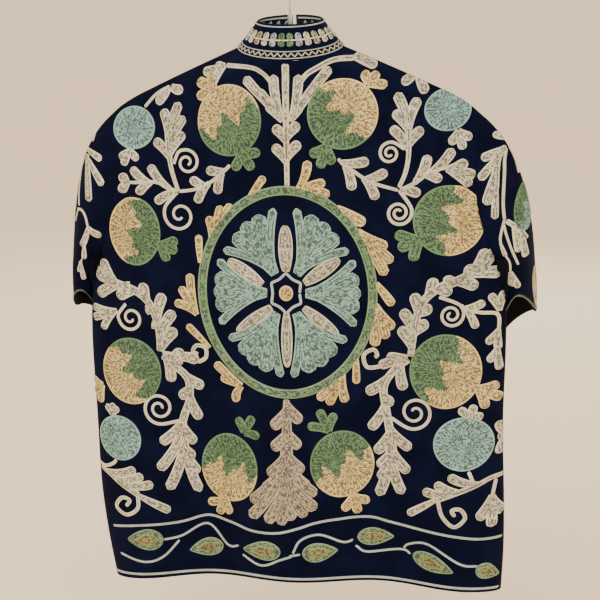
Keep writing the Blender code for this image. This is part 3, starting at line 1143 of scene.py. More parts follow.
@dataclass
class Embroiderer:
    """Sews patches onto a ground as one mesh, with their rows in a UV map and their threads in a colour.

    Args:
        finish: The thread's material.
        shade: How much one patch differs from the next.
        slide: How far the stitches of one patch slide along their rows at most.
        seed: Start of the chance that both are drawn from.
        weld: Distance below which two points become one.
    """

    finish: bpy.types.Material
    shade: float = 0.09
    slide: float = 0.02
    seed: int = 7
    weld: float = 2e-6

    @staticmethod
    def trim(ground: Ground, patch: Patch) -> tuple[list[Vector | None], np.ndarray]:
        """Lays a patch on its ground and ends it at the ground's edge.

        Args:
            ground: The cloth.
            patch: The patch.

        Returns:
            The points row by row, None where they lie clear of the ground, and which of them lie on it.
        """
        places = patch.places.reshape(-1, 2)
        heights = patch.height.reshape(-1)
        points = [ground.lift(float(a), float(b), float(h)) for (a, b), h in zip(places, heights)]
        on = np.array([point is not None for point in points]).reshape(patch.along.shape)
        if on.all() or not on.any():
            return points, on
        padded = np.pad(on, 1)
        rows, columns = on.shape
        near = sum(padded[r:r + rows, c:c + columns].astype(int) for r in range(3) for c in range(3)) > 0
        held = np.flatnonzero(on)
        for i in np.flatnonzero(near & ~on):
            inside = places[held[np.argmin(np.linalg.norm(places[held] - places[i], axis=1))]]
            outside = places[i]
            for _ in range(6):
                middle = (inside + outside) / 2
                if ground.lift(*map(float, middle), -TUCK) is None:
                    outside = middle
                else:
                    inside = middle
            points[i] = ground.lift(*map(float, inside), -TUCK)
        return points, on

    def sew(self, name: str, ground: Ground, patches: Iterable[Patch]) -> bpy.types.Object:
        """Makes the mesh of the patches.

        Args:
            name: Name of the piece.
            ground: The cloth they're worked on.
            patches: The patches.

        Returns:
            The object.
        """
        form = bmesh.new()
        rows_layer = form.loops.layers.uv.new("rows")
        thread_layer = form.loops.layers.float_color.new("thread")
        chance = np.random.default_rng(self.seed)
        missed: Verts = []
        spare: list[bmesh.types.BMFace] = []
        for patch in patches:
            rows, columns = patch.along.shape
            points, on = self.trim(ground, patch)
            if not on.any():
                continue
            first = len(form.faces)
            verts = lay_grid(form, rows, columns)
            slide = chance.random() * self.slide
            spots = dict(zip(verts, zip(patch.along.ravel() + slide, patch.edge.ravel())))
            for vert, point in zip(verts, points):
                if point is None:
                    missed.append(vert)
                else:
                    vert.co = point
            form.faces.ensure_lookup_table()
            tint = 1.0 + self.shade * (chance.random() * 2.0 - 1.0)
            for k, face in enumerate(form.faces[first:]):
                r, c = divmod(k, columns - 1)
                if not on[r:r + 2, c:c + 2].any():
                    spare.append(face)
                thread = patch.threads if isinstance(patch.threads, Thread) else patch.threads[r][c]
                colour = (*(value * tint for value in thread.value), 1.0)
                for loop in face.loops:
                    loop[rows_layer].uv = spots[loop.vert]
                    loop[thread_layer] = colour
        bmesh.ops.delete(form, geom=spare, context="FACES")
        bmesh.ops.delete(form, geom=[vert for vert in missed if vert.is_valid], context="VERTS")
        bmesh.ops.remove_doubles(form, verts=form.verts, dist=self.weld)
        return finish_piece(name, form, [self.finish])



class Line(NamedTuple):
    """A worked line of even width."""

    thread: Thread
    width: float
    places: tuple[Place, ...]


class Fan(NamedTuple):
    """Lobes that spread from one place."""

    thread: Thread
    width: float
    base: Place
    tips: tuple[Place, ...]
    point: float = 0.0


class Spray(NamedTuple):
    """A spine with lobes that leave it on their way to their tips, and how its width grows to its end."""

    thread: Thread
    width: float
    stem: float
    spine: tuple[Place, ...]
    tips: tuple[Place, ...]
    growth: float = 0.6


class Curl(NamedTuple):
    """A line that leads through places into a spiral, which starts in a direction and winds inwards."""

    thread: Thread
    width: float
    lead: tuple[Place, ...]
    centre: Place
    radius: float
    start: float
    turns: float


class Fruit(NamedTuple):
    """A round fruit of one or two threads, the second on the side of the split's direction in degrees."""

    centre: Place
    radii: Place
    thread: Thread
    other: Thread
    split: float


class Leaf(NamedTuple):
    """A broad leaf of the hem with a rim and a heart."""

    base: Place
    tip: Place
    width: float


Motif = Line | Curl | Fan | Spray | Fruit | Leaf


def alike(kind: type[Motif], thread: Thread, *rows: tuple) -> tuple[Motif, ...]:
    """Motifs of one kind and thread, each from a row of its other values."""
    return tuple(kind(thread, *row) for row in rows)


# Places of the motifs in millimetres. They were measured by eye on the picture, in pixels, and a helper that
# isn't kept turned them into millimetres with the camera's angle. The left and the right half of the real
# work differ, so each has its own places.

BACK_CREASES: tuple[Crease, ...] = (
    Crease(-214, -262, -222, -372, -5.0, 9.0),
    Crease(-196, -250, -206, -380, 3.0, 12.0),
    Crease(216, -258, 224, -352, -4.5, 9.0),
    Crease(198, -240, 208, -360, 2.6, 12.0),
    Crease(-236, -402, -150, -352, -2.6, 11.0),
    Crease(238, -398, 168, -330, -2.4, 11.0),
    Crease(-92, -180, -148, -236, -2.0, 12.0),
    Crease(96, -176, 140, -250, -2.2, 13.0),
    Crease(-58, -150, 58, -153, -1.6, 7.0),
    Crease(-160, -560, -148, -700, -2.4, 14.0),
    Crease(178, -540, 164, -690, -2.2, 14.0),
    Crease(52, -590, 62, -770, 1.8, 16.0),
    Crease(-66, -600, -58, -780, 1.6, 15.0),
)

FRONT_CREASES: tuple[Crease, ...] = (
    Crease(-206, -256, -216, -368, -4.0, 10.0),
    Crease(208, -262, 216, -360, -4.0, 10.0),
    Crease(-230, -396, -132, -340, -2.4, 12.0),
    Crease(226, -400, 140, -346, -2.6, 12.0),
    Crease(-84, -176, -66, -300, 2.0, 14.0),
    Crease(80, -180, 92, -292, 2.0, 13.0),
    Crease(-172, -560, -186, -720, -2.0, 15.0),
    Crease(168, -540, 184, -700, -2.2, 14.0),
)

MEDALLION_CENTRE: Place = (-3.5, -422)

FLAMES: tuple[Motif, ...] = alike(
    Fan, Thread.GOLD,
    (11.1, (-52, -305), ((-28, -273),)),
    (12.3, (-100, -358), ((-71, -308), (-85, -310), (-103, -324))),
    (10.6, (-115, -386), ((-116, -348),)),
    (12.3, (-121, -454), ((-129, -398), (-143, -416), (-152, -438))),
    (10.6, (-105, -497), ((-136, -466),)),
    (12.9, (-63, -545), ((-100, -515), (-93, -534), (-72, -568))),
    (12.9, (12, -291), ((26, -253), (49, -281), (54, -298))),
    (15.5, (61, -312), ((98, -334),)),
    (14.8, (87, -341), ((126, -363), (132, -383), (123, -400))),
    (12.9, (110, -408), ((132, -438),)),
    (14.8, (109, -435), ((133, -468), (123, -482), (107, -492))),
    (10.8, (84, -500), ((84, -541),)),
    (12.9, (68, -524), ((34, -560), (48, -568), (71, -565))),
)

CENTRE_MOTIFS: tuple[Motif, ...] = (
    Spray(
        Thread.BEIGE, 14.2, 6.6, ((0, -288), (0, -259), (0, -227), (0, -191), (0, -166), (0, -134)),
        ((-18, -235), (18, -231), (-17, -211), (17, -208)), 1.5,
    ),
    Fan(Thread.BEIGE, 13.5, (-4, -206), ((-54, -150), (-36, -166), (-25, -184), (-15, -147))),
    Fan(Thread.BEIGE, 13.5, (5, -206), ((56, -138), (43, -155), (20, -184), (16, -147))),
    Line(Thread.BEIGE, 5.9, ((-8, -175), (-21, -154), (-32, -144), (-46, -139), (-80, -137))),
    Line(Thread.BEIGE, 7.2, ((10, -175), (23, -151), (41, -139), (59, -131), (83, -130))),
    Fan(Thread.BEIGE, 12.3, (-80, -137), ((-112, -146), (-96, -136), (-97, -162))),
    Fan(Thread.BEIGE, 12.3, (80, -129), ((110, -141), (94, -124))),
    Spray(
        Thread.SAND, 16.8, 8.8, ((-5, -559), (-5, -602), (-6, -649), (-5, -703)), (
            (-26, -598), (15, -589), (-26, -626), (13, -623), (-32, -662), (17, -655), (-39, -683),
            (24, -677), (-57, -701), (33, -687), (-59, -723), (33, -706), (-36, -727), (20, -715),
            (-18, -728), (2, -721),
        ), 3.0,
    ),
)

SIDE_MOTIFS: tuple[Motif, ...] = (
    Fruit((-73, -204), (42, 45), Thread.GOLD, Thread.GREEN, -60),
    Fruit((70, -197), (44, 44), Thread.GOLD, Thread.GREEN, -140),
    Fruit((-203, -347), (36, 45), Thread.GOLD, Thread.GREEN, -10),
    Fruit((201, -331), (45, 45), Thread.GOLD, Thread.GREEN, 170),
    Fruit((-214, -532), (42, 45), Thread.GOLD, Thread.GREEN, 30),
    Fruit((197, -524), (46, 49), Thread.GOLD, Thread.GREEN, 150),
    Fruit((-84, -657), (39, 47), Thread.GOLD, Thread.GREEN, 80),
    Fruit((65, -646), (41, 45), Thread.GOLD, Thread.GREEN, 120),
    Fruit((-202, -215), (30, 27), Thread.TEAL, Thread.TEAL, 0),
    Fruit((198, -195), (29, 26), Thread.TEAL, Thread.TEAL, 0),
    Fruit((-235, -625), (32, 31), Thread.TEAL, Thread.TEAL, 0),
    Fruit((220, -620), (39, 36), Thread.TEAL, Thread.TEAL, 0),
    Fan(Thread.GOLD, 14.2, (-90, -168), ((-118, -155), (-116, -178), (-99, -144))),
    Fan(Thread.GREEN, 14.2, (-59, -242), ((-33, -242), (-43, -266), (-69, -266))),
    Fan(Thread.GOLD, 12.9, (99, -163), ((93, -146), (112, -147), (124, -164))),
    *alike(
        Fan, Thread.GREEN,
        (14.2, (52, -233), ((28, -246), (41, -264), (59, -259))),
        (14.2, (-173, -363), ((-144, -355), (-144, -370), (-159, -385))),
        (15.5, (169, -353), ((134, -345), (137, -365), (157, -382))),
    ),
    Fan(Thread.GOLD, 12.9, (-257, -555), ((-277, -548), (-279, -572), (-263, -582))),
    Fan(Thread.GOLD, 14.2, (234, -546), ((265, -544), (269, -564), (247, -576))),
    Fan(Thread.GREEN, 12.9, (-64, -609), ((-73, -588), (-50, -584), (-42, -613))),
    Fan(Thread.GOLD, 12.9, (-89, -700), ((-117, -707), (-102, -724), (-84, -722))),
    Fan(Thread.GREEN, 12.9, (50, -603), ((36, -572), (58, -578), (21, -595))),
    Fan(Thread.GOLD, 13.5, (77, -688), ((64, -709), (85, -715), (100, -697))),
    *alike(
        Fan, Thread.BEIGE,
        (11.6, (-206, -241), ((-223, -253), (-218, -263), (-194, -254))),
        (12.3, (211, -219), ((200, -236), (218, -244), (229, -229))),
        (10.3, (-245, -596), ((-255, -582), (-243, -578), (-234, -584))),
        (12.3, (229, -589), ((213, -573), (233, -568), (245, -585))),
        (13.5, (-155, -163), ((-136, -167), (-173, -185))),
        (13.5, (159, -144), ((140, -162), (172, -175))),
        (11.6, (-231, -452), ((-270, -450), (-270, -466), (-254, -480))),
        (14.2, (197, -266), ((223, -257), (234, -276), (228, -289))),
        (14.2, (-209, -284), ((-221, -273), (-222, -298))),
        (11.6, (220, -442), ((246, -435), (235, -470))),
        (11.6, (264, -450), ((251, -426), (270, -424))),
        (11.6, (263, -472), ((247, -490), (263, -500))),
        (11.6, (262, -495), ((249, -514), (265, -527))),
        (15.5, (256, -691), ((237, -723), (256, -736), (271, -718))),
        (12.9, (273, -615), ((263, -594), (262, -615), (264, -639))),
        (12.9, (-211, -701), ((-166, -722),)),
        (11.6, (186, -693), ((147, -716),)),
    ),
    Line(Thread.BEIGE, 4.6, ((-155, -163), (-173, -173), (-189, -190))),
    Line(Thread.BEIGE, 4.6, ((171, -147), (188, -157), (195, -171))),
    Spray(
        Thread.BEIGE, 13.9, 5.7, ((-141, -294), (-146, -279), (-150, -265), (-154, -241), (-156, -213)),
        ((-163, -190), (-139, -181), (-132, -199), (-132, -220), (-174, -229)), 1.3,
    ),
    Curl(Thread.BEIGE, 4.2, ((-147, -260),), (-129, -257), 17, -226, -1.57),
    Curl(Thread.BEIGE, 4.4, ((-144, -296),), (-140, -324), 22, 143, 1.49),
    *alike(
        Spray, Thread.BEIGE,
        (
            13.2, 5.2, ((-72, -259), (-79, -266), (-96, -280), (-116, -290), (-141, -294)),
            ((-125, -276), (-104, -265), (-117, -309), (-89, -297)), 0.9,
        ),
        (
            13.2, 5.7, ((-141, -294), (-151, -291), (-169, -283), (-187, -283), (-210, -284)),
            ((-180, -260), (-197, -299), (-205, -264), (-173, -310)), 0.8,
        ),
        (
            13.9, 5.7, ((139, -289), (147, -271), (151, -250), (151, -224), (150, -197)),
            ((134, -172), (163, -179), (131, -195), (128, -214), (169, -216)), 1.3,
        ),
    ),
    Curl(Thread.BEIGE, 4.2, ((147, -242),), (128, -246), 14, 60, 1.77),
    Spray(
        Thread.BEIGE, 13.9, 5.2, ((64, -251), (72, -260), (84, -268), (94, -275), (109, -283), (139, -292)),
        ((103, -254), (81, -292), (125, -267), (111, -304)), 0.9,
    ),
    Spray(
        Thread.BEIGE, 13.9, 5.7, ((140, -292), (161, -282), (176, -271), (188, -267), (200, -265)),
        ((166, -298), (192, -281), (175, -248), (206, -241)), 0.7,
    ),
    Curl(Thread.BEIGE, 4.6, ((139, -291),), (139, -320), 17, 43, -2.05),
    Spray(
        Thread.BEIGE, 16.1, 9.3,
        ((-173, -504), (-174, -475), (-183, -444), (-202, -426), (-229, -417), (-259, -409)), (
            (-149, -473), (-151, -449), (-165, -426), (-193, -413), (-220, -414), (-253, -386),
            (-183, -465), (-192, -447), (-260, -435), (-231, -435), (-265, -399),
        ), 1.3,
    ),
    Curl(Thread.BEIGE, 4.4, ((-218, -442),), (-212, -461), 18, 167, 1.5),
    Spray(
        Thread.BEIGE, 16.1, 9.3,
        ((153, -505), (158, -469), (166, -438), (185, -418), (215, -406), (249, -390)), (
            (138, -466), (141, -443), (156, -422), (182, -402), (204, -400), (229, -387), (247, -368),
            (259, -369), (267, -402), (176, -459), (181, -441), (205, -423), (237, -417),
        ), 1.4,
    ),
    Curl(Thread.BEIGE, 4.4, ((188, -427),), (204, -451), 17, 78, -1.93),
    Line(Thread.BEIGE, 5.2, ((215, -437), (222, -444), (240, -449), (261, -453), (263, -472), (261, -487))),
    Spray(
        Thread.BEIGE, 15.5, 12.4, ((-171, -508), (-153, -510), (-135, -512)),
        ((-142, -500), (-121, -515), (-146, -522)), 0.8,
    ),
    Line(
        Thread.BEIGE, 5.9,
        ((-124, -517), (-112, -510), (-112, -497), (-124, -494), (-129, -503), (-121, -505)),
    ),
    Spray(
        Thread.BEIGE, 15.5, 10.3,
        ((-170, -508), (-153, -523), (-137, -539), (-136, -568), (-144, -590), (-151, -618), (-149, -652)), (
            (-160, -545), (-150, -565), (-115, -549), (-121, -594), (-178, -628), (-182, -665),
            (-170, -694), (-125, -696), (-129, -627), (-131, -647), (-126, -669),
        ), 1.2,
    ),
    Curl(Thread.BEIGE, 4.6, ((-149, -597),), (-177, -580), 22, -78, -1.82),
    Fan(Thread.BEIGE, 14.2, (150, -505), ((112, -517), (122, -504))),
    Line(Thread.BEIGE, 5.9, ((117, -517), (98, -518), (94, -502), (106, -495), (111, -502), (107, -506))),
    Spray(
        Thread.BEIGE, 15.5, 10.3,
        ((151, -507), (134, -520), (119, -543), (121, -572), (125, -598), (129, -627), (130, -653)), (
            (95, -552), (145, -549), (131, -568), (99, -601), (106, -633), (109, -652), (111, -670),
            (109, -693), (143, -690), (154, -627), (151, -659),
        ), 1.2,
    ),
    Curl(Thread.BEIGE, 4.6, ((127, -585),), (158, -578), 23, -126, 1.79),
    Line(Thread.BEIGE, 5.2, ((-273, -665), (-259, -668), (-245, -661), (-241, -655))),
    Spray(
        Thread.BEIGE, 13.5, 6.2, ((-268, -670), (-250, -679), (-235, -688), (-209, -701)),
        ((-212, -665), (-202, -673), (-188, -684)), 1.6,
    ),
    Line(
        Thread.BEIGE, 5.9,
        ((-211, -701), (-212, -720), (-229, -731), (-244, -722), (-235, -708), (-223, -710), (-230, -720)),
    ),
    Spray(
        Thread.BEIGE, 13.5, 6.2, ((272, -666), (255, -668), (236, -676), (213, -684), (185, -694)),
        ((200, -661), (183, -671), (167, -682)), 1.4,
    ),
    *alike(
        Line, Thread.BEIGE,
        (5.2, ((226, -656), (234, -676))),
        (5.2, ((261, -670), (256, -694))),
        (5.9, ((187, -694), (193, -716), (208, -730), (222, -719), (216, -707), (205, -708), (210, -717))),
    ),
)

HEM_MOTIFS: tuple[Motif, ...] = (
    Line(
        Thread.PALE, 3.9, (
            (-253, -752), (-212, -744), (-169, -739), (-147, -735), (-116, -726), (-87, -732), (-53, -740),
            (-21, -739), (8, -731), (30, -724), (61, -720), (99, -720), (125, -727), (163, -735),
            (213, -744), (241, -749), (270, -751),
        ),
    ),
    Leaf((-177, -761), (-230, -766), 32),
    Leaf((-96, -766), (-144, -777), 27),
    Leaf((-15, -764), (-69, -767), 28),
    Leaf((12, -766), (59, -762), 28),
    Leaf((82, -747), (131, -747), 26),
    Leaf((154, -769), (208, -793), 25),
    Leaf((236, -788), (266, -803), 23),
    *alike(
        Line, Thread.PALE,
        (3.6, ((-178, -762), (-153, -756), (-117, -738), (-90, -765), (-74, -764))),
        (3.6, ((-70, -775), (-43, -786), (-16, -775), (0, -769))),
        (3.6, ((-156, -762), (-179, -786), (-205, -795), (-243, -789))),
        (3.6, ((-5, -769), (11, -766))),
        (3.6, ((0, -766), (11, -747), (35, -740), (65, -752), (78, -750))),
        (3.6, ((80, -758), (96, -768), (140, -764), (152, -770))),
        (3.6, ((142, -763), (150, -756), (175, -755), (216, -781), (239, -786))),
    ),
)

SLEEVE_BACKS: dict[Hand, tuple[Motif, ...]] = {
    Hand.LEFT: (
        *alike(
            Fan, Thread.BEIGE,
            (10.3, (-274, -245), ((-248, -257),)),
            (12.3, (-273, -250), ((-268, -313),)),
            (11.6, (-271, -257), ((-246, -290),)),
        ),
        *alike(
            Line, Thread.BEIGE,
            (3.1, ((-281, -260), (-284, -270), (-287, -300), (-286, -320))),
            (2.8, ((-287, -322), (-294, -342))),
            (4.1, ((-291, -324), (-280, -324), (-273, -332), (-269, -346))),
        ),
        Fan(Thread.BEIGE, 10.3, (-269, -344), ((-281, -371), (-251, -355))),
        Line(Thread.BEIGE, 3.1, ((-272, -351), (-274, -362), (-276, -373))),
        Fan(Thread.BEIGE, 7.7, (-276, -369), ((-278, -388),)),
        Line(Thread.BEIGE, 2.8, ((-280, -386), (-284, -395))),
        Fan(Thread.BEIGE, 7.1, (-283, -390), ((-287, -406), (-281, -417))),
    ),
    Hand.RIGHT: (
        Line(Thread.BEIGE, 5.4, ((250, -204), (258, -211), (267, -220), (273, -234))),
        Fan(Thread.BEIGE, 9.5, (273, -234), ((253, -226),)),
        Line(Thread.BEIGE, 10.3, ((271, -244), (262, -250), (258, -266), (257, -295))),
        *alike(
            Fan, Thread.BEIGE,
            (12.3, (271, -244), ((239, -256),)),
            (12.3, (265, -249), ((237, -282),)),
            (14.2, (260, -265), ((246, -314),)),
            (10.3, (258, -278), ((257, -332),)),
        ),
        *alike(
            Line, Thread.BEIGE,
            (4.4, ((270, -244), (268, -259), (268, -275), (267, -311), (269, -333))),
            (3.4, ((273, -242), (281, -259), (286, -278))),
            (7.1, ((270, -333), (280, -340), (289, -349), (297, -361))),
        ),
        Fan(Thread.BEIGE, 9.7, (280, -341), ((287, -375),)),
        Fan(Thread.BEIGE, 9.7, (289, -348), ((296, -383),)),
        Line(Thread.BEIGE, 3.9, ((269, -331), (266, -344), (264, -355), (265, -365))),
        Fan(Thread.BEIGE, 6.5, (264, -361), ((271, -380),)),
        Line(Thread.BEIGE, 3.1, ((270, -377), (276, -387), (277, -401))),
        Fan(Thread.BEIGE, 10.3, (277, -399), ((288, -421), (278, -420))),
        Line(Thread.BEIGE, 3.6, ((268, -337), (271, -350), (278, -370), (287, -391))),
    ),
}


@dataclass(frozen=True)
class Value:
    """A shader socket that can be reckoned with.

    Args:
        graph: The graph it belongs to.
        socket: Its output socket.
    """

    graph: "Graph"
    socket: bpy.types.NodeSocket

    def do(self, operation: str, *others: "Value | float", swap: bool = False) -> "Value":
        """One step of shader maths on this value.

        Args:
            operation: The step's name.
            others: What else goes into it.
            swap: Whether the other value comes first.

        Returns:
            The result.
        """
        terms = (*others, self) if swap else (self, *others)
        node = self.graph.node("ShaderNodeMath", {"operation": operation}, dict(enumerate(terms)))
        return Value(self.graph, node.outputs[0])

    def __add__(self, other: "Value | float") -> "Value":
        """The sum."""
        return self.do("ADD", other)

    def __sub__(self, other: "Value | float") -> "Value":
        """The difference."""
        return self.do("SUBTRACT", other)

    def __rsub__(self, other: float) -> "Value":
        """The difference from a number."""
        return self.do("SUBTRACT", other, swap=True)

    def __mul__(self, other: "Value | float") -> "Value":
        """The product."""
        return self.do("MULTIPLY", other)

    def __truediv__(self, other: "Value | float") -> "Value":
        """The quotient."""
        return self.do("DIVIDE", other)

    def __abs__(self) -> "Value":
        """The size without its sign."""
        return self.do("ABSOLUTE")

    def smooth(self, low: float, high: float) -> "Value":
        """Smooth step from 0 at low to 1 at high."""
        settings = {"interpolation_type": "SMOOTHSTEP"}
        inputs = {"Value": self, "From Min": low, "From Max": high}
        return Value(self.graph, self.graph.node("ShaderNodeMapRange", settings, inputs).outputs[0])


@dataclass
class Graph:
    """The node graph of one material.

    Args:
        name: The material's name.
    """

    name: str

    def __post_init__(self) -> None:
        """Starts the material with its shader and output."""
        self.material = bpy.data.materials.new(self.name)
        self.material.use_nodes = True
        self.tree = self.material.node_tree
        self.tree.nodes.clear()
        self.shader = self.node("ShaderNodeBsdfPrincipled")
        self.node("ShaderNodeOutputMaterial", None, {"Surface": self.shader.outputs["BSDF"]})

    def node(
        self, kind: str, settings: dict[str, Any] | None = None, inputs: dict[Any, Any] | None = None,
    ) -> bpy.types.Node:
        """Adds a node.

        Args:
            kind: Its type.
            settings: Values of its properties.
            inputs: What goes into its sockets, by name or number.

        Returns:
            The node.
        """
        node = self.tree.nodes.new(kind)
        for key, setting in (settings or {}).items():
            setattr(node, key, setting)
        for key, given in (inputs or {}).items():
            self.feed(node.inputs[key], given)
        return node

    def feed(self, socket: bpy.types.NodeSocket, given: Any) -> None:
        """Links or sets one socket."""
        source = given.socket if isinstance(given, Value) else given
        if isinstance(source, bpy.types.NodeSocket):
            self.tree.links.new(source, socket)
        else:
            socket.default_value = source

    def noise(
        self, scale: float, detail: float = 2.0, squash: Sequence[float] = (1.0, 1.0, 1.0),
        place: bpy.types.NodeSocket | None = None,
    ) -> Value:
        """Noise over the piece's own space, from 0 to 1.

        Args:
            scale: Its scale per metre.
            detail: Its octaves.
            squash: Scale along each axis.
            place: What it reads instead of the piece's own space.

        Returns:
            The noise.
        """
        place = place or self.node("ShaderNodeTexCoord").outputs["Object"]
        spread = self.node("ShaderNodeVectorMath", {"operation": "MULTIPLY"}, {0: place, 1: squash})
        inputs = {"Vector": spread.outputs[0], "Scale": scale, "Detail": detail}
        return Value(self, self.node("ShaderNodeTexNoise", None, inputs).outputs[0])

    def wave(self, axis: str, scale: float) -> Value:
        """Sine bands across an axis of the piece's own space, from 0 to 1."""
        place = self.node("ShaderNodeTexCoord").outputs["Object"]
        parts = self.node("ShaderNodeSeparateXYZ", None, {0: place})
        turned = Value(self, parts.outputs[axis]) * (math.tau * scale)
        return turned.do("SINE") * 0.5 + 0.5

    def blend(self, share: Value | float, low: Any, high: Any, mode: str = "MIX") -> bpy.types.NodeSocket:
        """Mixes two colours."""
        settings = {"data_type": "RGBA", "blend_type": mode}
        return self.node("ShaderNodeMix", settings, {0: share, 6: low, 7: high}).outputs[2]

    def dress(
        self, height: Value | None, strength: float, distance: float, **inputs: Any,
    ) -> bpy.types.Material:
        """Feeds the shader and its bump.

        Args:
            height: What the bump reads.
            strength: How strong the bump is.
            distance: How high it is.
            inputs: What goes into the shader's sockets, with spaces as underscores.

        Returns:
            The material.
        """
        for key, given in inputs.items():
            self.feed(self.shader.inputs[key.replace("_", " ")], given)
        if height is not None:
            bump = self.node("ShaderNodeBump", None, {
                "Strength": strength, "Distance": distance, "Height": height,
            })
            self.feed(self.shader.inputs["Normal"], bump.outputs[0])
        return self.material


@dataclass(frozen=True)
class Cotton:
    """Plain woven cotton.

    Args:
        name: The material's name.
        colour: Its colour, linear.
        lighter: The colour where the weave catches light.
        weave: Threads per metre.
    """

    name: str
    colour: tuple[float, ...] = (0.0009, 0.0020, 0.0120, 1.0)
    lighter: tuple[float, ...] = (0.0022, 0.0042, 0.0210, 1.0)
    weave: float = 900.0

    def make(self) -> bpy.types.Material:
        """Makes the material."""
        graph = Graph(self.name)
        worn = graph.noise(26.0, 4.0)
        threads = graph.wave("X", self.weave) * graph.wave("Z", self.weave)
        height = threads * 0.6 + graph.noise(420.0, 2.0) * 0.8
        colour = graph.blend(worn.smooth(0.35, 0.70), self.colour, self.lighter)
        rough = worn * 0.10 + 0.78
        return graph.dress(height, 0.35, 0.0004, Base_Color=colour, Roughness=rough, Specular_IOR_Level=0.05)


@dataclass(frozen=True)
class ChainStitch:
    """Rows of chain stitch, in the colour each patch carries.

    Args:
        name: The material's name.
        stitch: Length of a stitch.
        gap: Colour of the cloth between the rows and in the loops; it also stands for the painted shade there and for
            the painted shadow along each patch's outline.
        faded: What the most worn thread's colour is multiplied by.
    """

    name: str = "chain_stitch"
    stitch: float = 0.0038
    gap: tuple[float, ...] = (0.012, 0.016, 0.030, 1.0)
    faded: tuple[float, ...] = (0.72, 0.66, 0.52, 1.0)

    def make(self) -> bpy.types.Material:
        """Makes the material."""
        graph = Graph(self.name)
        rows = graph.node("ShaderNodeUVMap", {"uv_map": "rows"})
        parts = graph.node("ShaderNodeSeparateXYZ", None, {0: rows.outputs[0]})
        along, edge = Value(graph, parts.outputs[0]), Value(graph, parts.outputs[1])
        wander = graph.noise(140.0, 1.0)
        inside = edge.smooth(ROW * 0.75, ROW * 1.35)
        lane = edge / ROW + inside * wander * 1.1
        across = abs(lane.do("FRACT") * 2.0 - 1.0)
        link = (along / self.stitch + across * 0.45 + lane.do("FLOOR") * 0.37 + wander * 1.2).do("FRACT")
        # Between the rows, in the middle of each loop and in random flecks the thread is darkened. This is partly the
        # cloth showing through and partly painted shade in those hollows.
        seam = across.smooth(0.45, 1.0)
        hole = link.smooth(0.50, 0.90) * (1.0 - across.smooth(0.2, 0.85))
        streak = graph.noise(490.0, 1.0, (0.36, 1.0, 1.0), rows.outputs[0])
        speck = (streak * 0.62 + graph.noise(390.0, 1.0) * 0.38).smooth(0.46, 0.56)
        openings_and_shade = (seam * 0.45 + hole * 0.75 + speck * 0.95).do("MINIMUM", 1.0)
        # Painted shadow along each patch's outline, where the raised work meets the cloth.
        border = 1.0 - edge.smooth(0.0, ROW * 0.36)
        # The openings with their painted shade and the painted shadow at the outline set how far the thread turns to
        # the gap colour.
        dark = (openings_and_shade * (inside * 0.70 + 0.10) + border * 0.75).do("MINIMUM", 0.92)
        colour = graph.node("ShaderNodeVertexColor", {"layer_name": "thread"}).outputs["Color"]
        worn = graph.noise(48.0, 3.0).smooth(0.30, 0.72)
        aged = graph.blend(worn * 0.60, colour, self.faded, "MULTIPLY")
        # The thread is mixed towards the gap colour where the cloth shows, and where shade and shadow are painted.
        mixed = graph.blend(dark, aged, self.gap)
        height = (1.0 - across * across) * (1.0 - hole * 0.6)
        return graph.dress(height, 0.6, 0.0007, Base_Color=mixed, Roughness=0.85, Specular_IOR_Level=0.15)


@dataclass(frozen=True)
class Lining:
    """The dark lining inside the jacket."""

    name: str = "lining"
    colour: tuple[float, ...] = (0.0050, 0.0055, 0.0080, 1.0)
    lighter: tuple[float, ...] = (0.0100, 0.0105, 0.0140, 1.0)

    def make(self) -> bpy.types.Material:
        """Makes the material."""
        graph = Graph(self.name)
        patch = graph.noise(34.0, 3.0)
        colour = graph.blend(patch.smooth(0.3, 0.7), self.colour, self.lighter)
        rough = patch * 0.1 + 0.8
        bumps = graph.noise(700.0, 1.0)
        return graph.dress(bumps, 0.25, 0.0003, Base_Color=colour, Roughness=rough, Specular_IOR_Level=0.2)


@dataclass(frozen=True)
class Steel:
    """Drawn steel wire."""

    name: str
    colour: tuple[float, ...] = (0.50, 0.50, 0.51, 1.0)
    dull: tuple[float, ...] = (0.32, 0.32, 0.33, 1.0)

    def make(self) -> bpy.types.Material:
        """Makes the material."""
        graph = Graph(self.name)
        stain = graph.noise(120.0, 3.0)
        drawn = graph.noise(900.0, 1.0, (1.0, 1.0, 0.08))
        colour = graph.blend(stain.smooth(0.4, 0.75), self.colour, self.dull)
        rough = stain * 0.15 + 0.26
        return graph.dress(drawn, 0.12, 0.0002, Base_Color=colour, Roughness=rough, Metallic=1.0)


@dataclass(frozen=True)
class Paper:
    """Pale matt floor."""

    name: str = "floor_paper"
    colour: tuple[float, ...] = (0.94, 0.79, 0.56, 1.0)
    lighter: tuple[float, ...] = (0.97, 0.82, 0.59, 1.0)

    def make(self) -> bpy.types.Material:
        """Makes the material."""
        graph = Graph(self.name)
        tone = graph.noise(0.8, 1.0)
        colour = graph.blend(tone, self.colour, self.lighter)
        return graph.dress(None, 0.0, 0.0, Base_Color=colour, Roughness=0.95)


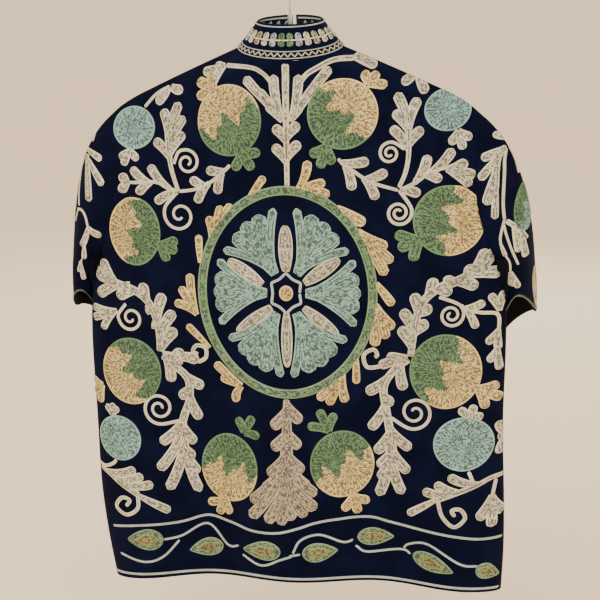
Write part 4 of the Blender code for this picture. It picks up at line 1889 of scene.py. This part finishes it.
@dataclass
class Needlework:
    """Works motifs given in millimetres.

    Args:
        needle: What makes the patches.
        lean: How far back along the spine a lobe starts, as a share of its reach.
        fan_bow: How far the lobes of a fan bend outwards, as a share of their length.
        spray_bow: How far those of a spray bend towards its end.
        wave: Depth of the edge between a fruit's two threads, as a share of its radius.
        ripple: Depth of the finer wave on it.
    """

    needle: Needle = field(default_factory=Needle)
    lean: float = 1.25
    fan_bow: float = 0.16
    spray_bow: float = 0.08
    wave: float = 0.20
    ripple: float = 0.12

    def work(self, motifs: Iterable[Motif], keep: Callable[[Place], bool] | None = None) -> None:
        """Works motifs one after another.

        Args:
            motifs: The motifs.
            keep: Says whether a motif that starts at a place is worked.
        """
        for motif in motifs:
            match motif:
                case Line(thread, width, places):
                    start, action = places[0], (self.needle.stem, self.metres(places), width * MM, thread)
                case Curl(thread, width, lead, centre, radius, turn, turns):
                    start, (middle,) = lead[0], self.metres([centre])
                    lead = self.metres(lead)
                    action = (self.needle.spiral, middle, radius * MM, turn, turns, width * MM, thread, lead)
                case Fan(thread, width, base, tips, point):
                    start, action = base, (self.fan, motif)
                case Spray(thread, width, stem, spine, tips, growth):
                    start, action = spine[0], (self.spray, motif)
                case Fruit(centre, radii, thread, other, split):
                    start, action = centre, (self.fruit, motif)
                case Leaf(base, tip, width):
                    start, action = base, (self.leaf, motif)
            if keep is None or keep(start):
                action[0](*action[1:])

    @staticmethod
    def metres(places: Sequence[Place]) -> list[Place]:
        """The places in metres."""
        return [(a * MM, b * MM) for a, b in places]

    def fan(self, motif: Fan) -> None:
        """Works a fan, its outer lobes bent outwards."""
        base = np.array(motif.base, float) * MM
        tips = np.array(motif.tips, float) * MM
        middle = tips.mean(axis=0) - base
        for tip in tips:
            reach = tip - base
            turn = middle[0] * reach[1] - middle[1] * reach[0]
            bow = self.fan_bow * turn / max(float(np.dot(reach, reach)), 1e-9)
            self.needle.lobe(base, tip, motif.width * MM, motif.thread, -bow, motif.point)

    def spray(self, motif: Spray) -> None:
        """Works a spine and lobes that leave it forwards."""
        line = self.needle.through(self.metres(motif.spine))
        steps = np.concatenate([[0.0], np.cumsum(np.linalg.norm(np.diff(line, axis=0), axis=1))])
        for tip in self.metres(motif.tips):
            reach = np.linalg.norm(line - np.array(tip), axis=1)
            near = int(np.argmin(reach))
            at = max(0.0, steps[near] - self.lean * reach[near])
            root = (float(np.interp(at, steps, line[:, 0])), float(np.interp(at, steps, line[:, 1])))
            aim = line[min(near + 1, len(line) - 1)] - line[max(near - 1, 0)]
            side = np.sign(aim[0] * (tip[1] - root[1]) - aim[1] * (tip[0] - root[0]))
            self.needle.lobe(root, tip, motif.width * MM, motif.thread, -self.spray_bow * side)
        self.needle.stem(self.metres(motif.spine), motif.stem * MM, motif.thread, 0.0001, motif.growth)

    def fruit(self, motif: Fruit) -> None:
        """Works a fruit, whose two threads meet along a wave."""
        aim, phase = math.radians(motif.split), 0.07 * sum(motif.centre)

        def pick(x: float, z: float) -> Thread:
            forward = x * math.cos(aim) + z * math.sin(aim)
            aside = -x * math.sin(aim) + z * math.cos(aim)
            turn = aside * 7.5 + phase
            edge = self.wave * math.sin(turn) + self.ripple * math.sin(2.0 * turn)
            return motif.other if forward > edge else motif.thread

        centre, radii = self.metres([motif.centre, motif.radii])
        self.needle.disc(centre, radii, pick)

    def leaf(self, motif: Leaf) -> None:
        """Works a leaf with its rim and a heart laid over it."""
        base, tip = (np.array(place) for place in self.metres([motif.base, motif.tip]))
        width, run = motif.width * MM, tip - base
        low, high, narrow, lift = 0.16, 0.22, 0.56, 0.0006
        self.needle.blade(base, tip, width, Thread.LEAF)
        self.needle.blade(base + run * low, tip - run * high, width * narrow, Thread.OLIVE, lift)

    def take(self) -> list[Patch]:
        """Hands over the patches worked so far."""
        patches, self.needle.patches = self.needle.patches, []
        return patches


@dataclass
class Medallion:
    """The large medallion of the back.

    Args:
        centre: Its middle, in millimetres.
        radii: Half width and half height of its ring's outside.
        band: Width of the ring.
        fan_reach: How far a fan reaches, as a share of the radii.
        fan_spread: How much farther one at a side reaches.
        fan_turns: Direction of each fan and the step between its lobes, in degrees.
        seeds: Each seed's direction and share of the radii at its root and at its tip, and its width.
        scallop: Share of the radii at which the line round the heart turns out, and how far it turns in.
        heart: Half width and half height of the heart, in metres.
    """

    centre: Place
    radii: Place = (116.0, 137.0)
    band: float = 12.6
    fan_reach: float = 0.78
    fan_spread: float = 0.04
    fan_turns: tuple[tuple[float, float], ...] = (
        (55.5, 12.7), (0.0, 10.9), (-59.5, 12.7), (-120.5, 12.7), (180.0, 10.9), (124.5, 12.7),
    )
    seeds: tuple[tuple[float, ...], ...] = (
        (90.0, 0.19, 90.0, 0.64, 20.5), (25.0, 0.21, 28.6, 0.68, 19.5),
        (-35.0, 0.22, -35.0, 0.70, 17.5), (-90.0, 0.17, -90.0, 0.71, 16.0),
        (-141.0, 0.20, -146.0, 0.69, 18.0), (164.0, 0.26, 154.4, 0.72, 19.0),
    )
    scallop: tuple[float, float] = (0.185, 0.035)
    heart: Place = (0.0092, 0.0102)

    def place(self, share: float, degrees: float) -> Place:
        """Place at a share of the ring's radius in a direction, in millimetres."""
        turn = math.radians(degrees)
        return (
            self.centre[0] + self.radii[0] * share * math.cos(turn),
            self.centre[1] + self.radii[1] * share * math.sin(turn),
        )

    def work(self, work: Needlework) -> None:
        """Works the medallion."""
        needle = work.needle
        (centre,) = work.metres([self.centre])
        middle = [(radius - self.band / 2) * MM for radius in self.radii]
        needle.ring(centre, middle, self.band * MM, Thread.RING)
        for turn, step in self.fan_turns:
            reach = self.fan_reach + self.fan_spread * abs(math.cos(math.radians(turn)))
            base = self.place(0.20, turn)
            sides = tuple(self.place(reach + 0.01, turn + side * step * 2.05) for side in (-1, 1))
            tops = tuple(self.place(reach + 0.01 * (side == 0), turn + side * step) for side in (-1, 0, 1))
            work.work([Fan(Thread.FAN, 12.0, base, sides), Fan(Thread.FAN, 22.0, base, tops)])
        for out, low, turn, high, width in self.seeds:
            root, tip = work.metres([self.place(low, out), self.place(high, turn)])
            needle.lobe(root, tip, width * MM, Thread.BEIGE, 0.0, 0.75)
        out, depth = self.scallop
        turns = range(0, 361, 10)
        shares = [out - depth * abs(math.cos(math.radians(3 * turn))) for turn in turns]
        work.work([Line(Thread.PALE, 4.0, tuple(map(self.place, shares, turns)))])
        needle.disc(centre, self.heart, lambda x, z: Thread.GOLD, 0.5)


@dataclass
class Hems:
    """Border lines that follow the edges of the body.

    Args:
        form: The jacket's sizes.
        top: Height at which the border along the opening starts, in millimetres.
        foot: Height at which it ends.
    """

    form: JacketForm
    top: float = -136.0
    foot: float = -812.0

    def hem_line(self, above: float, low_x: float, high_x: float) -> tuple[Place, ...]:
        """Places along the hem at a height above it, in millimetres."""
        places = []
        for x in np.linspace(low_x, high_x, 40):
            share = min(1.0, abs(x) / 270.0)
            hem = mix(self.form.hem_drop_middle, self.form.hem_drop_side, share * share) / MM
            places.append((float(x), above - hem))
        return tuple(places)

    def opening_line(self, hand: Hand, off: float) -> tuple[Place, ...]:
        """Places along the front opening at a distance from its edge, in millimetres."""
        places = []
        for z in np.linspace(self.top, self.foot, 60):
            share = (z - self.top) / (self.foot - self.top)
            gap = mix(self.form.front_gap_neck, self.form.front_gap_hem, share) / 2 / MM
            places.append((hand.value * (gap + off), float(z)))
        return tuple(places)

    @staticmethod
    def zigzag(one: Sequence[Place], other: Sequence[Place]) -> tuple[Place, ...]:
        """Places that go to and fro between two lines."""
        return tuple((one if i % 2 else other)[i] for i in range(len(one)))

    def work(self, work: Needlework, low_x: float, high_x: float, above: float = 5.0) -> None:
        """Works a line along the hem."""
        work.work([Line(Thread.PALE, 3.8, self.hem_line(above, low_x, high_x))])

    def work_opening(self, work: Needlework, hand: Hand) -> None:
        """Works the border along the front opening."""
        near, inner, outer, far = (self.opening_line(hand, off) for off in (5.0, 9.0, 20.0, 24.0))
        for line in (near, far):
            work.work([Line(Thread.PALE, 3.0, line)])
        work.work([Line(Thread.GREEN, 3.6, self.zigzag(inner, outer))])


@dataclass
class CollarWork:
    """Embroidery of the stand collar, laid out along its length.

    Args:
        length: Length round its seam, in millimetres.
        height: Its height.
        pitch: Distance from one pair of leaves to the next.
        middle_height: Height of the line that joins them.
        border: Heights of the two lines along the seam.
        teeth: Heights between which the zigzag goes.
        leaf_tips: Heights of the lower and the upper leaf of a pair over that line.
        threads: Threads of the pairs in turn; the middle pair is green.
    """

    length: float
    height: float
    pitch: float = 14.0
    middle_height: float = 25.5
    border: tuple[float, float] = (2.6, 11.5)
    teeth: tuple[float, float] = (4.6, 9.5)
    leaf_tips: tuple[float, float] = (-7.6, 8.8)
    threads: tuple[Thread, ...] = (Thread.BEIGE, Thread.PALE, Thread.BEIGE, Thread.SAND)

    def level(self, up: float) -> tuple[Place, ...]:
        """Places along the collar at a height."""
        return tuple((float(a), up) for a in np.linspace(3.0, self.length - 3.0, 60))

    def zigzag(self, low: float, high: float, step: float) -> tuple[Place, ...]:
        """Places that go up and down between two heights."""
        count = int((self.length - 8.0) / step)
        return tuple((4.0 + i * step, high if i % 2 else low) for i in range(count + 1))

    def work(self, work: Needlework) -> None:
        """Works the outside: a border at the seam, leaf pairs and a line at the top edge."""
        top = self.height
        for up in (*self.border, top - 3.0):
            work.work([Line(Thread.PALE, 1.9, self.level(up))])
        work.work([Line(Thread.SAND, 2.4, self.zigzag(*self.teeth, 4.6))])
        work.work([Line(Thread.BEIGE, 2.4, self.level(self.middle_height))])
        centre = self.length / 2
        for i in range(int((centre - 14.0) / self.pitch)):
            thread = self.threads[i % len(self.threads)] if i else Thread.GREEN
            for side in (-1.0, 1.0):
                joint = centre + side * (4.0 + i * self.pitch)
                tips = tuple((joint + side * 4.5, self.middle_height + up) for up in self.leaf_tips)
                work.work([Fan(thread, 11.6, (joint, self.middle_height), tips)])

    def work_inside(self, work: Needlework) -> None:
        """Works the inside of the collar's upper edge."""
        top = self.height
        work.work([Line(Thread.PALE, 2.6, self.level(top - 3.5))])
        work.work([Line(Thread.PALE, 3.0, self.zigzag(top - 18.0, top - 7.0, 8.0))])


@dataclass
class SleeveWork:
    """Embroidery of a sleeve, laid out round it and down it in millimetres.

    Args:
        round_length: Length round it.
        down_length: Length down it.
        cuff_lines: Height over the cuff, thread and width of each line along it.
    """

    round_length: float
    down_length: float
    cuff_lines: tuple[tuple[float, Thread, float], ...] = (
        (4.5, Thread.PINK, 1.8), (8.5, Thread.LEAF, 1.6),
    )

    def work(self, work: Needlework, front: Sequence[Motif], outside: Sequence[Motif]) -> None:
        """Works the motifs of the front half and of the outside, then the cuff's lines.

        Args:
            work: What works them.
            front: Those of the front half, laid out from the outside towards the underarm.
            outside: Those along the outside.
        """
        work.work(front)
        for patch in work.needle.patches:
            patch.places[..., 0] = self.round_length * MM - patch.places[..., 0]
        work.work(outside)
        for up, thread, width in self.cuff_lines:
            level = tuple((float(a), self.down_length - up) for a in np.linspace(0.0, self.round_length, 70))
            work.work([Line(thread, width, level)])


SLEEVE_FRONT: tuple[Motif, ...] = (
    Spray(
        Thread.BEIGE, 13.0, 6.5, ((84, 6), (90, 50), (92, 102)),
        ((126, 26), (130, 54), (124, 82), (112, 108), (92, 116)),
    ),
    Fan(Thread.BEIGE, 10.0, (112, 4), ((128, 0),)),
    Line(Thread.PALE, 5.0, ((84, 8), (74, 24), (66, 40))),
    Fruit((56, 70), (26, 28), Thread.GREEN, Thread.GREEN, 0),
    Spray(
        Thread.BEIGE, 12.0, 6.5, ((92, 118), (80, 138), (58, 152)),
        ((96, 142), (78, 160), (60, 168), (50, 140)),
    ),
    Line(Thread.PALE, 4.5, ((98, 122), (112, 150), (108, 172))),
    Fan(Thread.BEIGE, 10.0, (104, 140), ((126, 132), (130, 150), (122, 166))),
    Fruit((108, 184), (7, 7), Thread.PALE, Thread.PALE, 0),
    Fruit((62, 206), (27, 28), Thread.GOLD, Thread.GREEN, 60),
    Fan(Thread.GREEN, 11.0, (78, 178), ((66, 168), (84, 164), (98, 172)), 0.2),
    Spray(
        Thread.BEIGE, 11.0, 6.0, ((112, 196), (110, 226), (96, 250)),
        ((128, 214), (126, 236), (112, 256), (92, 262)),
    ),
    Fan(Thread.GOLD, 11.0, (52, 236), ((34, 246), (48, 256), (66, 250)), 0.3),
)

SLEEVE_OUTSIDES: dict[Hand, tuple[Motif, ...]] = {
    Hand.LEFT: (
        Spray(
            Thread.BEIGE, 12.0, 6.5, ((-10, 14), (-14, 60), (-12, 118)),
            ((-28, 36), (4, 44), (-30, 76), (4, 84), (-12, 130)),
        ),
        Fruit((-14, 170), (21, 24), Thread.TEAL, Thread.TEAL, 0),
        Fan(Thread.BEIGE, 11.0, (-12, 192), ((-26, 206), (-10, 212), (4, 204))),
        Fruit((10, 246), (18, 34), Thread.FAN, Thread.FAN, 0),
    ),
    Hand.RIGHT: (
        Spray(
            Thread.BEIGE, 12.0, 6.5, ((-16, 10), (-20, 44), (-18, 84)),
            ((-34, 30), (-4, 38), (-34, 62), (-4, 70), (-18, 98)),
        ),
        Fruit((20, 134), (32, 29), Thread.GREEN, Thread.FAN, 120),
        Fan(Thread.BEIGE, 11.0, (-20, 164), ((-36, 180), (-22, 192), (-8, 188))),
        Spray(
            Thread.BEIGE, 11.0, 6.0, ((-24, 196), (-26, 216), (-24, 240)),
            ((-38, 212), (-12, 220), (-24, 256)),
        ),
        Fruit((16, 258), (20, 33), Thread.GOLD, Thread.BEIGE, 60),
    ),
}


@dataclass
class Jacket:
    """Builds and dresses the cloth pieces with their embroidery.

    Args:
        pattern: Lays out the cut pieces.
        tailor: Makes their meshes.
        sleeve_round: Length that a sleeve's motifs take for the way round it.
        sleeve_down: Length that they take for the way down it.
        collar_height: Length that the collar's motifs take for its height.
        side_clear: Distance from the middle at which the side motifs of a front may start, in millimetres.
        hem_clear: The same for its hem's motifs.
        back_hem: Where the hem's line starts and ends on the back.
        front_hem: Where it starts and ends on a front, out from the middle.
        front_hem_heights: Heights of the lines along the hem of a front.
    """

    pattern: Pattern
    tailor: Tailor = field(default_factory=Tailor)
    sleeve_round: float = 0.340
    sleeve_down: float = 0.300
    collar_height: float = 0.044
    side_clear: float = 50.0
    hem_clear: float = 74.0
    back_hem: tuple[float, float] = (-262.0, 266.0)
    front_hem: tuple[float, float] = (34.0, 262.0)
    front_hem_heights: tuple[float, float] = (5.0, 68.0)

    def __post_init__(self) -> None:
        """Makes the finishes that the pieces share."""
        self.lining = Lining().make()
        self.thread = ChainStitch().make()
        self.embroiderer = Embroiderer(self.thread)
        self.hems = Hems(self.pattern.form)

    def cloth(self, node: str, cut: Cut) -> bpy.types.Object:
        """Sews the cloth of one piece."""
        piece = self.tailor.sew(f"cloth_{node}", cut, [Cotton(f"cotton_{node}").make(), self.lining])
        self.place(piece, node)
        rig.replaces(piece, node)
        return piece

    def dress(self, node: str, suffix: str, ground: Ground, patches: list[Patch]) -> bpy.types.Object:
        """Sews the embroidery of one piece."""
        piece = self.embroiderer.sew(f"stitches_{node}{suffix}", ground, patches)
        self.place(piece, node)
        return piece

    @staticmethod
    def place(piece: bpy.types.Object, node: str) -> None:
        """Gives a piece its body and its slot."""
        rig.ride(piece, "root")
        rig.slot(piece, f"{node.removesuffix('_panel')}_cloth")
        LOG.info("%s: %d faces", piece.name, len(piece.data.polygons))

    @staticmethod
    def declare(
        piece: bpy.types.Object, cut: Cut, worked: list[bpy.types.Object], rests_on: Sequence[str],
    ) -> None:
        """Declares a piece as cloth, with its flat size measured along its rows and columns."""
        closed = [row + row[:1] for row in cut.outer] if cut.wrap else cut.outer
        width = max(sum(spans(row)) for row in closed)
        length = max(sum(spans(column)) for column in zip(*cut.outer))
        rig.sheet(
            piece, flat=(width, length), held="hung", rests_on=list(rests_on), area=cut.area(),
            with_pieces=worked,
        )
        LOG.info("%s: cut %.3f x %.3f m, %.4f m2", piece.name, width, length, cut.area())

    def back(self) -> None:
        """The back with its medallion, sprays and hem."""
        cut = self.pattern.back()
        piece = self.cloth("back_panel", cut)
        work = Needlework()
        Medallion(MEDALLION_CENTRE).work(work)
        work.work(FLAMES + CENTRE_MOTIFS + SIDE_MOTIFS)
        self.hems.work(work, *self.back_hem)
        work.work(HEM_MOTIFS)
        worked = [self.dress("back_panel", "", PanelGround(piece, Face.BACK), work.take())]
        self.declare(piece, cut, worked, ["hanger_frame"])

    def front(self, hand: Hand) -> None:
        """One front, with the back's side motifs and a border along the opening."""
        node = f"front_{hand.name.lower()}"
        cut = self.pattern.half_panel(Face.FRONT, hand)
        piece = self.cloth(node, cut)
        work = Needlework()
        for motifs, clear in ((SIDE_MOTIFS, self.side_clear), (HEM_MOTIFS, self.hem_clear)):
            work.work(motifs, lambda place: place[0] * hand.value > clear)
        ends = sorted(hand.value * end for end in self.front_hem)
        for above in self.front_hem_heights:
            self.hems.work(work, *ends, above)
        self.hems.work_opening(work, hand)
        worked = [self.dress(node, "", PanelGround(piece, Face.FRONT), work.take())]
        self.declare(piece, cut, worked, ["hanger_frame"])

    def sleeve(self, hand: Hand) -> None:
        """One sleeve with its embroidery."""
        node = f"sleeve_{hand.name.lower()}"
        cut = self.pattern.sleeve(hand)
        piece = self.cloth(node, cut)
        turns = self.pattern.ring_turns(self.pattern.armhole_ring(hand)[0])
        stations = [turn / math.tau for turn in turns] + [1.0]
        ground = GridGround(cut.outer, True, self.sleeve_round, self.sleeve_down, stations)
        work = Needlework()
        plan = SleeveWork(self.sleeve_round / MM, self.sleeve_down / MM)
        plan.work(work, SLEEVE_FRONT, SLEEVE_OUTSIDES[hand])
        worked = [self.dress(node, "", ground, work.take())]
        work.work(SLEEVE_BACKS[hand])
        worked.append(self.dress(node, "_back", PanelGround(piece, Face.BACK), work.take()))
        self.declare(piece, cut, worked, [])

    def collar(self) -> None:
        """The stand collar, worked outside and along its upper edge inside."""
        cut = self.pattern.collar()
        piece = self.cloth("collar", cut)
        steps = spans(cut.outer[0])
        length = sum(steps)
        stations = [float(run) for run in np.cumsum([0.0, *steps]) / length]
        work, plan = Needlework(), CollarWork(length / MM, self.collar_height / MM)
        plan.work(work)
        outside = GridGround(cut.outer, False, length, self.collar_height, stations)
        worked = [self.dress("collar", "", outside, work.take())]
        plan.work_inside(work)
        inside = GridGround(cut.inner, False, length, self.collar_height, stations)
        inside.flip = -outside.flip
        worked.append(self.dress("collar", "_inside", inside, work.take()))
        self.declare(piece, cut, worked, [])


@dataclass
class Hanger:
    """The wire hanger, whose solids keep their shape and get their finish.

    Args:
        nodes: Names of its solids.
    """

    nodes: tuple[str, ...] = ("hanger_frame", "hanger_neck", "hanger_hook")

    def dress(self, solids: dict[str, bpy.types.Object]) -> None:
        """Gives each solid its steel."""
        for name in self.nodes:
            solid = solids[name]
            solid.data.materials.clear()
            solid.data.materials.append(Steel(f"steel_{name}").make())
            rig.slot(solid, f"{name}_wire")
            LOG.info("%s dressed", name)


@dataclass
class Studio:
    """Floor, lights and camera.

    Args:
        floor_height: Height of the floor.
        floor_half: Half of its width.
        aim: Place that the camera and the lamps face.
        distance: Distance of the camera from it.
        pitch: How steeply the camera looks down, in radians.
        yaw: How far it stands round to the jacket's right, in radians.
        roll: How far it leans sideways, in radians.
        slide: How far it is shifted sideways.
        lens: Its focal length, in millimetres.
        shift: Shift of its lens.
    """

    floor_height: float = -0.95
    floor_half: float = 60.0
    aim: Vector = field(default_factory=lambda: Vector((0.0, -0.05, -0.4316)))
    distance: float = 2.0
    pitch: float = math.radians(12.0)
    yaw: float = math.radians(9.0)
    roll: float = 0.020
    slide: float = 0.008
    lens: float = 94.49
    shift: float = 0.0183

    def floor(self) -> None:
        """Lays a pale floor."""
        form = bmesh.new()
        bmesh.ops.create_grid(form, x_segments=8, y_segments=8, size=self.floor_half)
        for vert in form.verts:
            vert.co.z = self.floor_height
        floor = finish_piece("floor", form, [Paper().make()])
        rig.stage(floor)
        LOG.info("floor laid")

    def lamp(
        self, name: str, place: Sequence[float], size: float, power: float, tint: Sequence[float],
    ) -> None:
        """Hangs an area lamp that faces the jacket."""
        light = bpy.data.lights.new(name, "AREA")
        light.size, light.energy, light.color = size, power, tint
        lamp = bpy.data.objects.new(name, light)
        lamp.location = place
        lamp.rotation_euler = (self.aim - lamp.location).to_track_quat("-Z", "Y").to_euler()
        bpy.context.scene.collection.objects.link(lamp)
        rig.stage(lamp)

    def lights(self) -> None:
        """Soft light from both sides, above and behind."""
        self.lamp("key", (-1.1, -1.9, 1.2), 1.8, 35.0, (1.0, 0.985, 0.96))
        self.lamp("fill", (1.9, -1.9, 0.1), 2.2, 21.0, (0.96, 0.98, 1.0))
        self.lamp("back_light", (0.3, 2.6, 0.9), 2.4, 34.0, (1.0, 1.0, 1.0))
        world = bpy.data.worlds.new("studio")
        world.use_nodes = True
        background = world.node_tree.nodes["Background"]
        background.inputs["Color"].default_value = (1.0, 0.85, 0.70, 1.0)
        background.inputs["Strength"].default_value = 1.45
        bpy.context.scene.world = world
        LOG.info("lights hung")

    def camera(self) -> None:
        """Sets the camera at the photograph's angle."""
        forward = Vector((
            -math.sin(self.yaw) * math.cos(self.pitch), math.cos(self.yaw) * math.cos(self.pitch),
            -math.sin(self.pitch),
        ))
        right = Vector((math.cos(self.yaw), math.sin(self.yaw), 0.0))
        up = right.cross(forward)
        tilt = Matrix.Rotation(self.roll, 3, "Y")
        place = tilt @ (self.aim - forward * self.distance) + Vector((self.slide, 0.0, 0.0))
        axes = tilt @ Matrix((right, up, -forward)).transposed()
        lens = bpy.data.cameras.new("camera")
        lens.lens, lens.sensor_width, lens.shift_x = self.lens, 36.0, self.shift
        camera = bpy.data.objects.new("camera", lens)
        camera.matrix_world = Matrix.Translation(place) @ axes.to_4x4()
        bpy.context.scene.collection.objects.link(camera)
        bpy.context.scene.camera = camera
        LOG.info("camera set")


def main() -> None:
    """Builds the jacket's looks and the studio in order."""
    logging.basicConfig(level=logging.INFO, format="%(message)s")
    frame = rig.load()
    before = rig.bounds()
    jacket = Jacket(Pattern(JacketForm()))
    jacket.back()
    for hand in Hand:
        jacket.front(hand)
        jacket.sleeve(hand)
    jacket.collar()
    Hanger().dress(frame["nodes"])
    studio = Studio()
    studio.floor()
    studio.lights()
    studio.camera()
    bpy.context.view_layer.update()
    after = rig.bounds()
    sizes = {"before": [list(corner) for corner in before], "after": [list(corner) for corner in after]}
    with open("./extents.json", "w", encoding="utf-8") as out:
        json.dump(sizes, out, indent=1)
    LOG.info("sizes written")


if __name__ == "__main__":
    main()
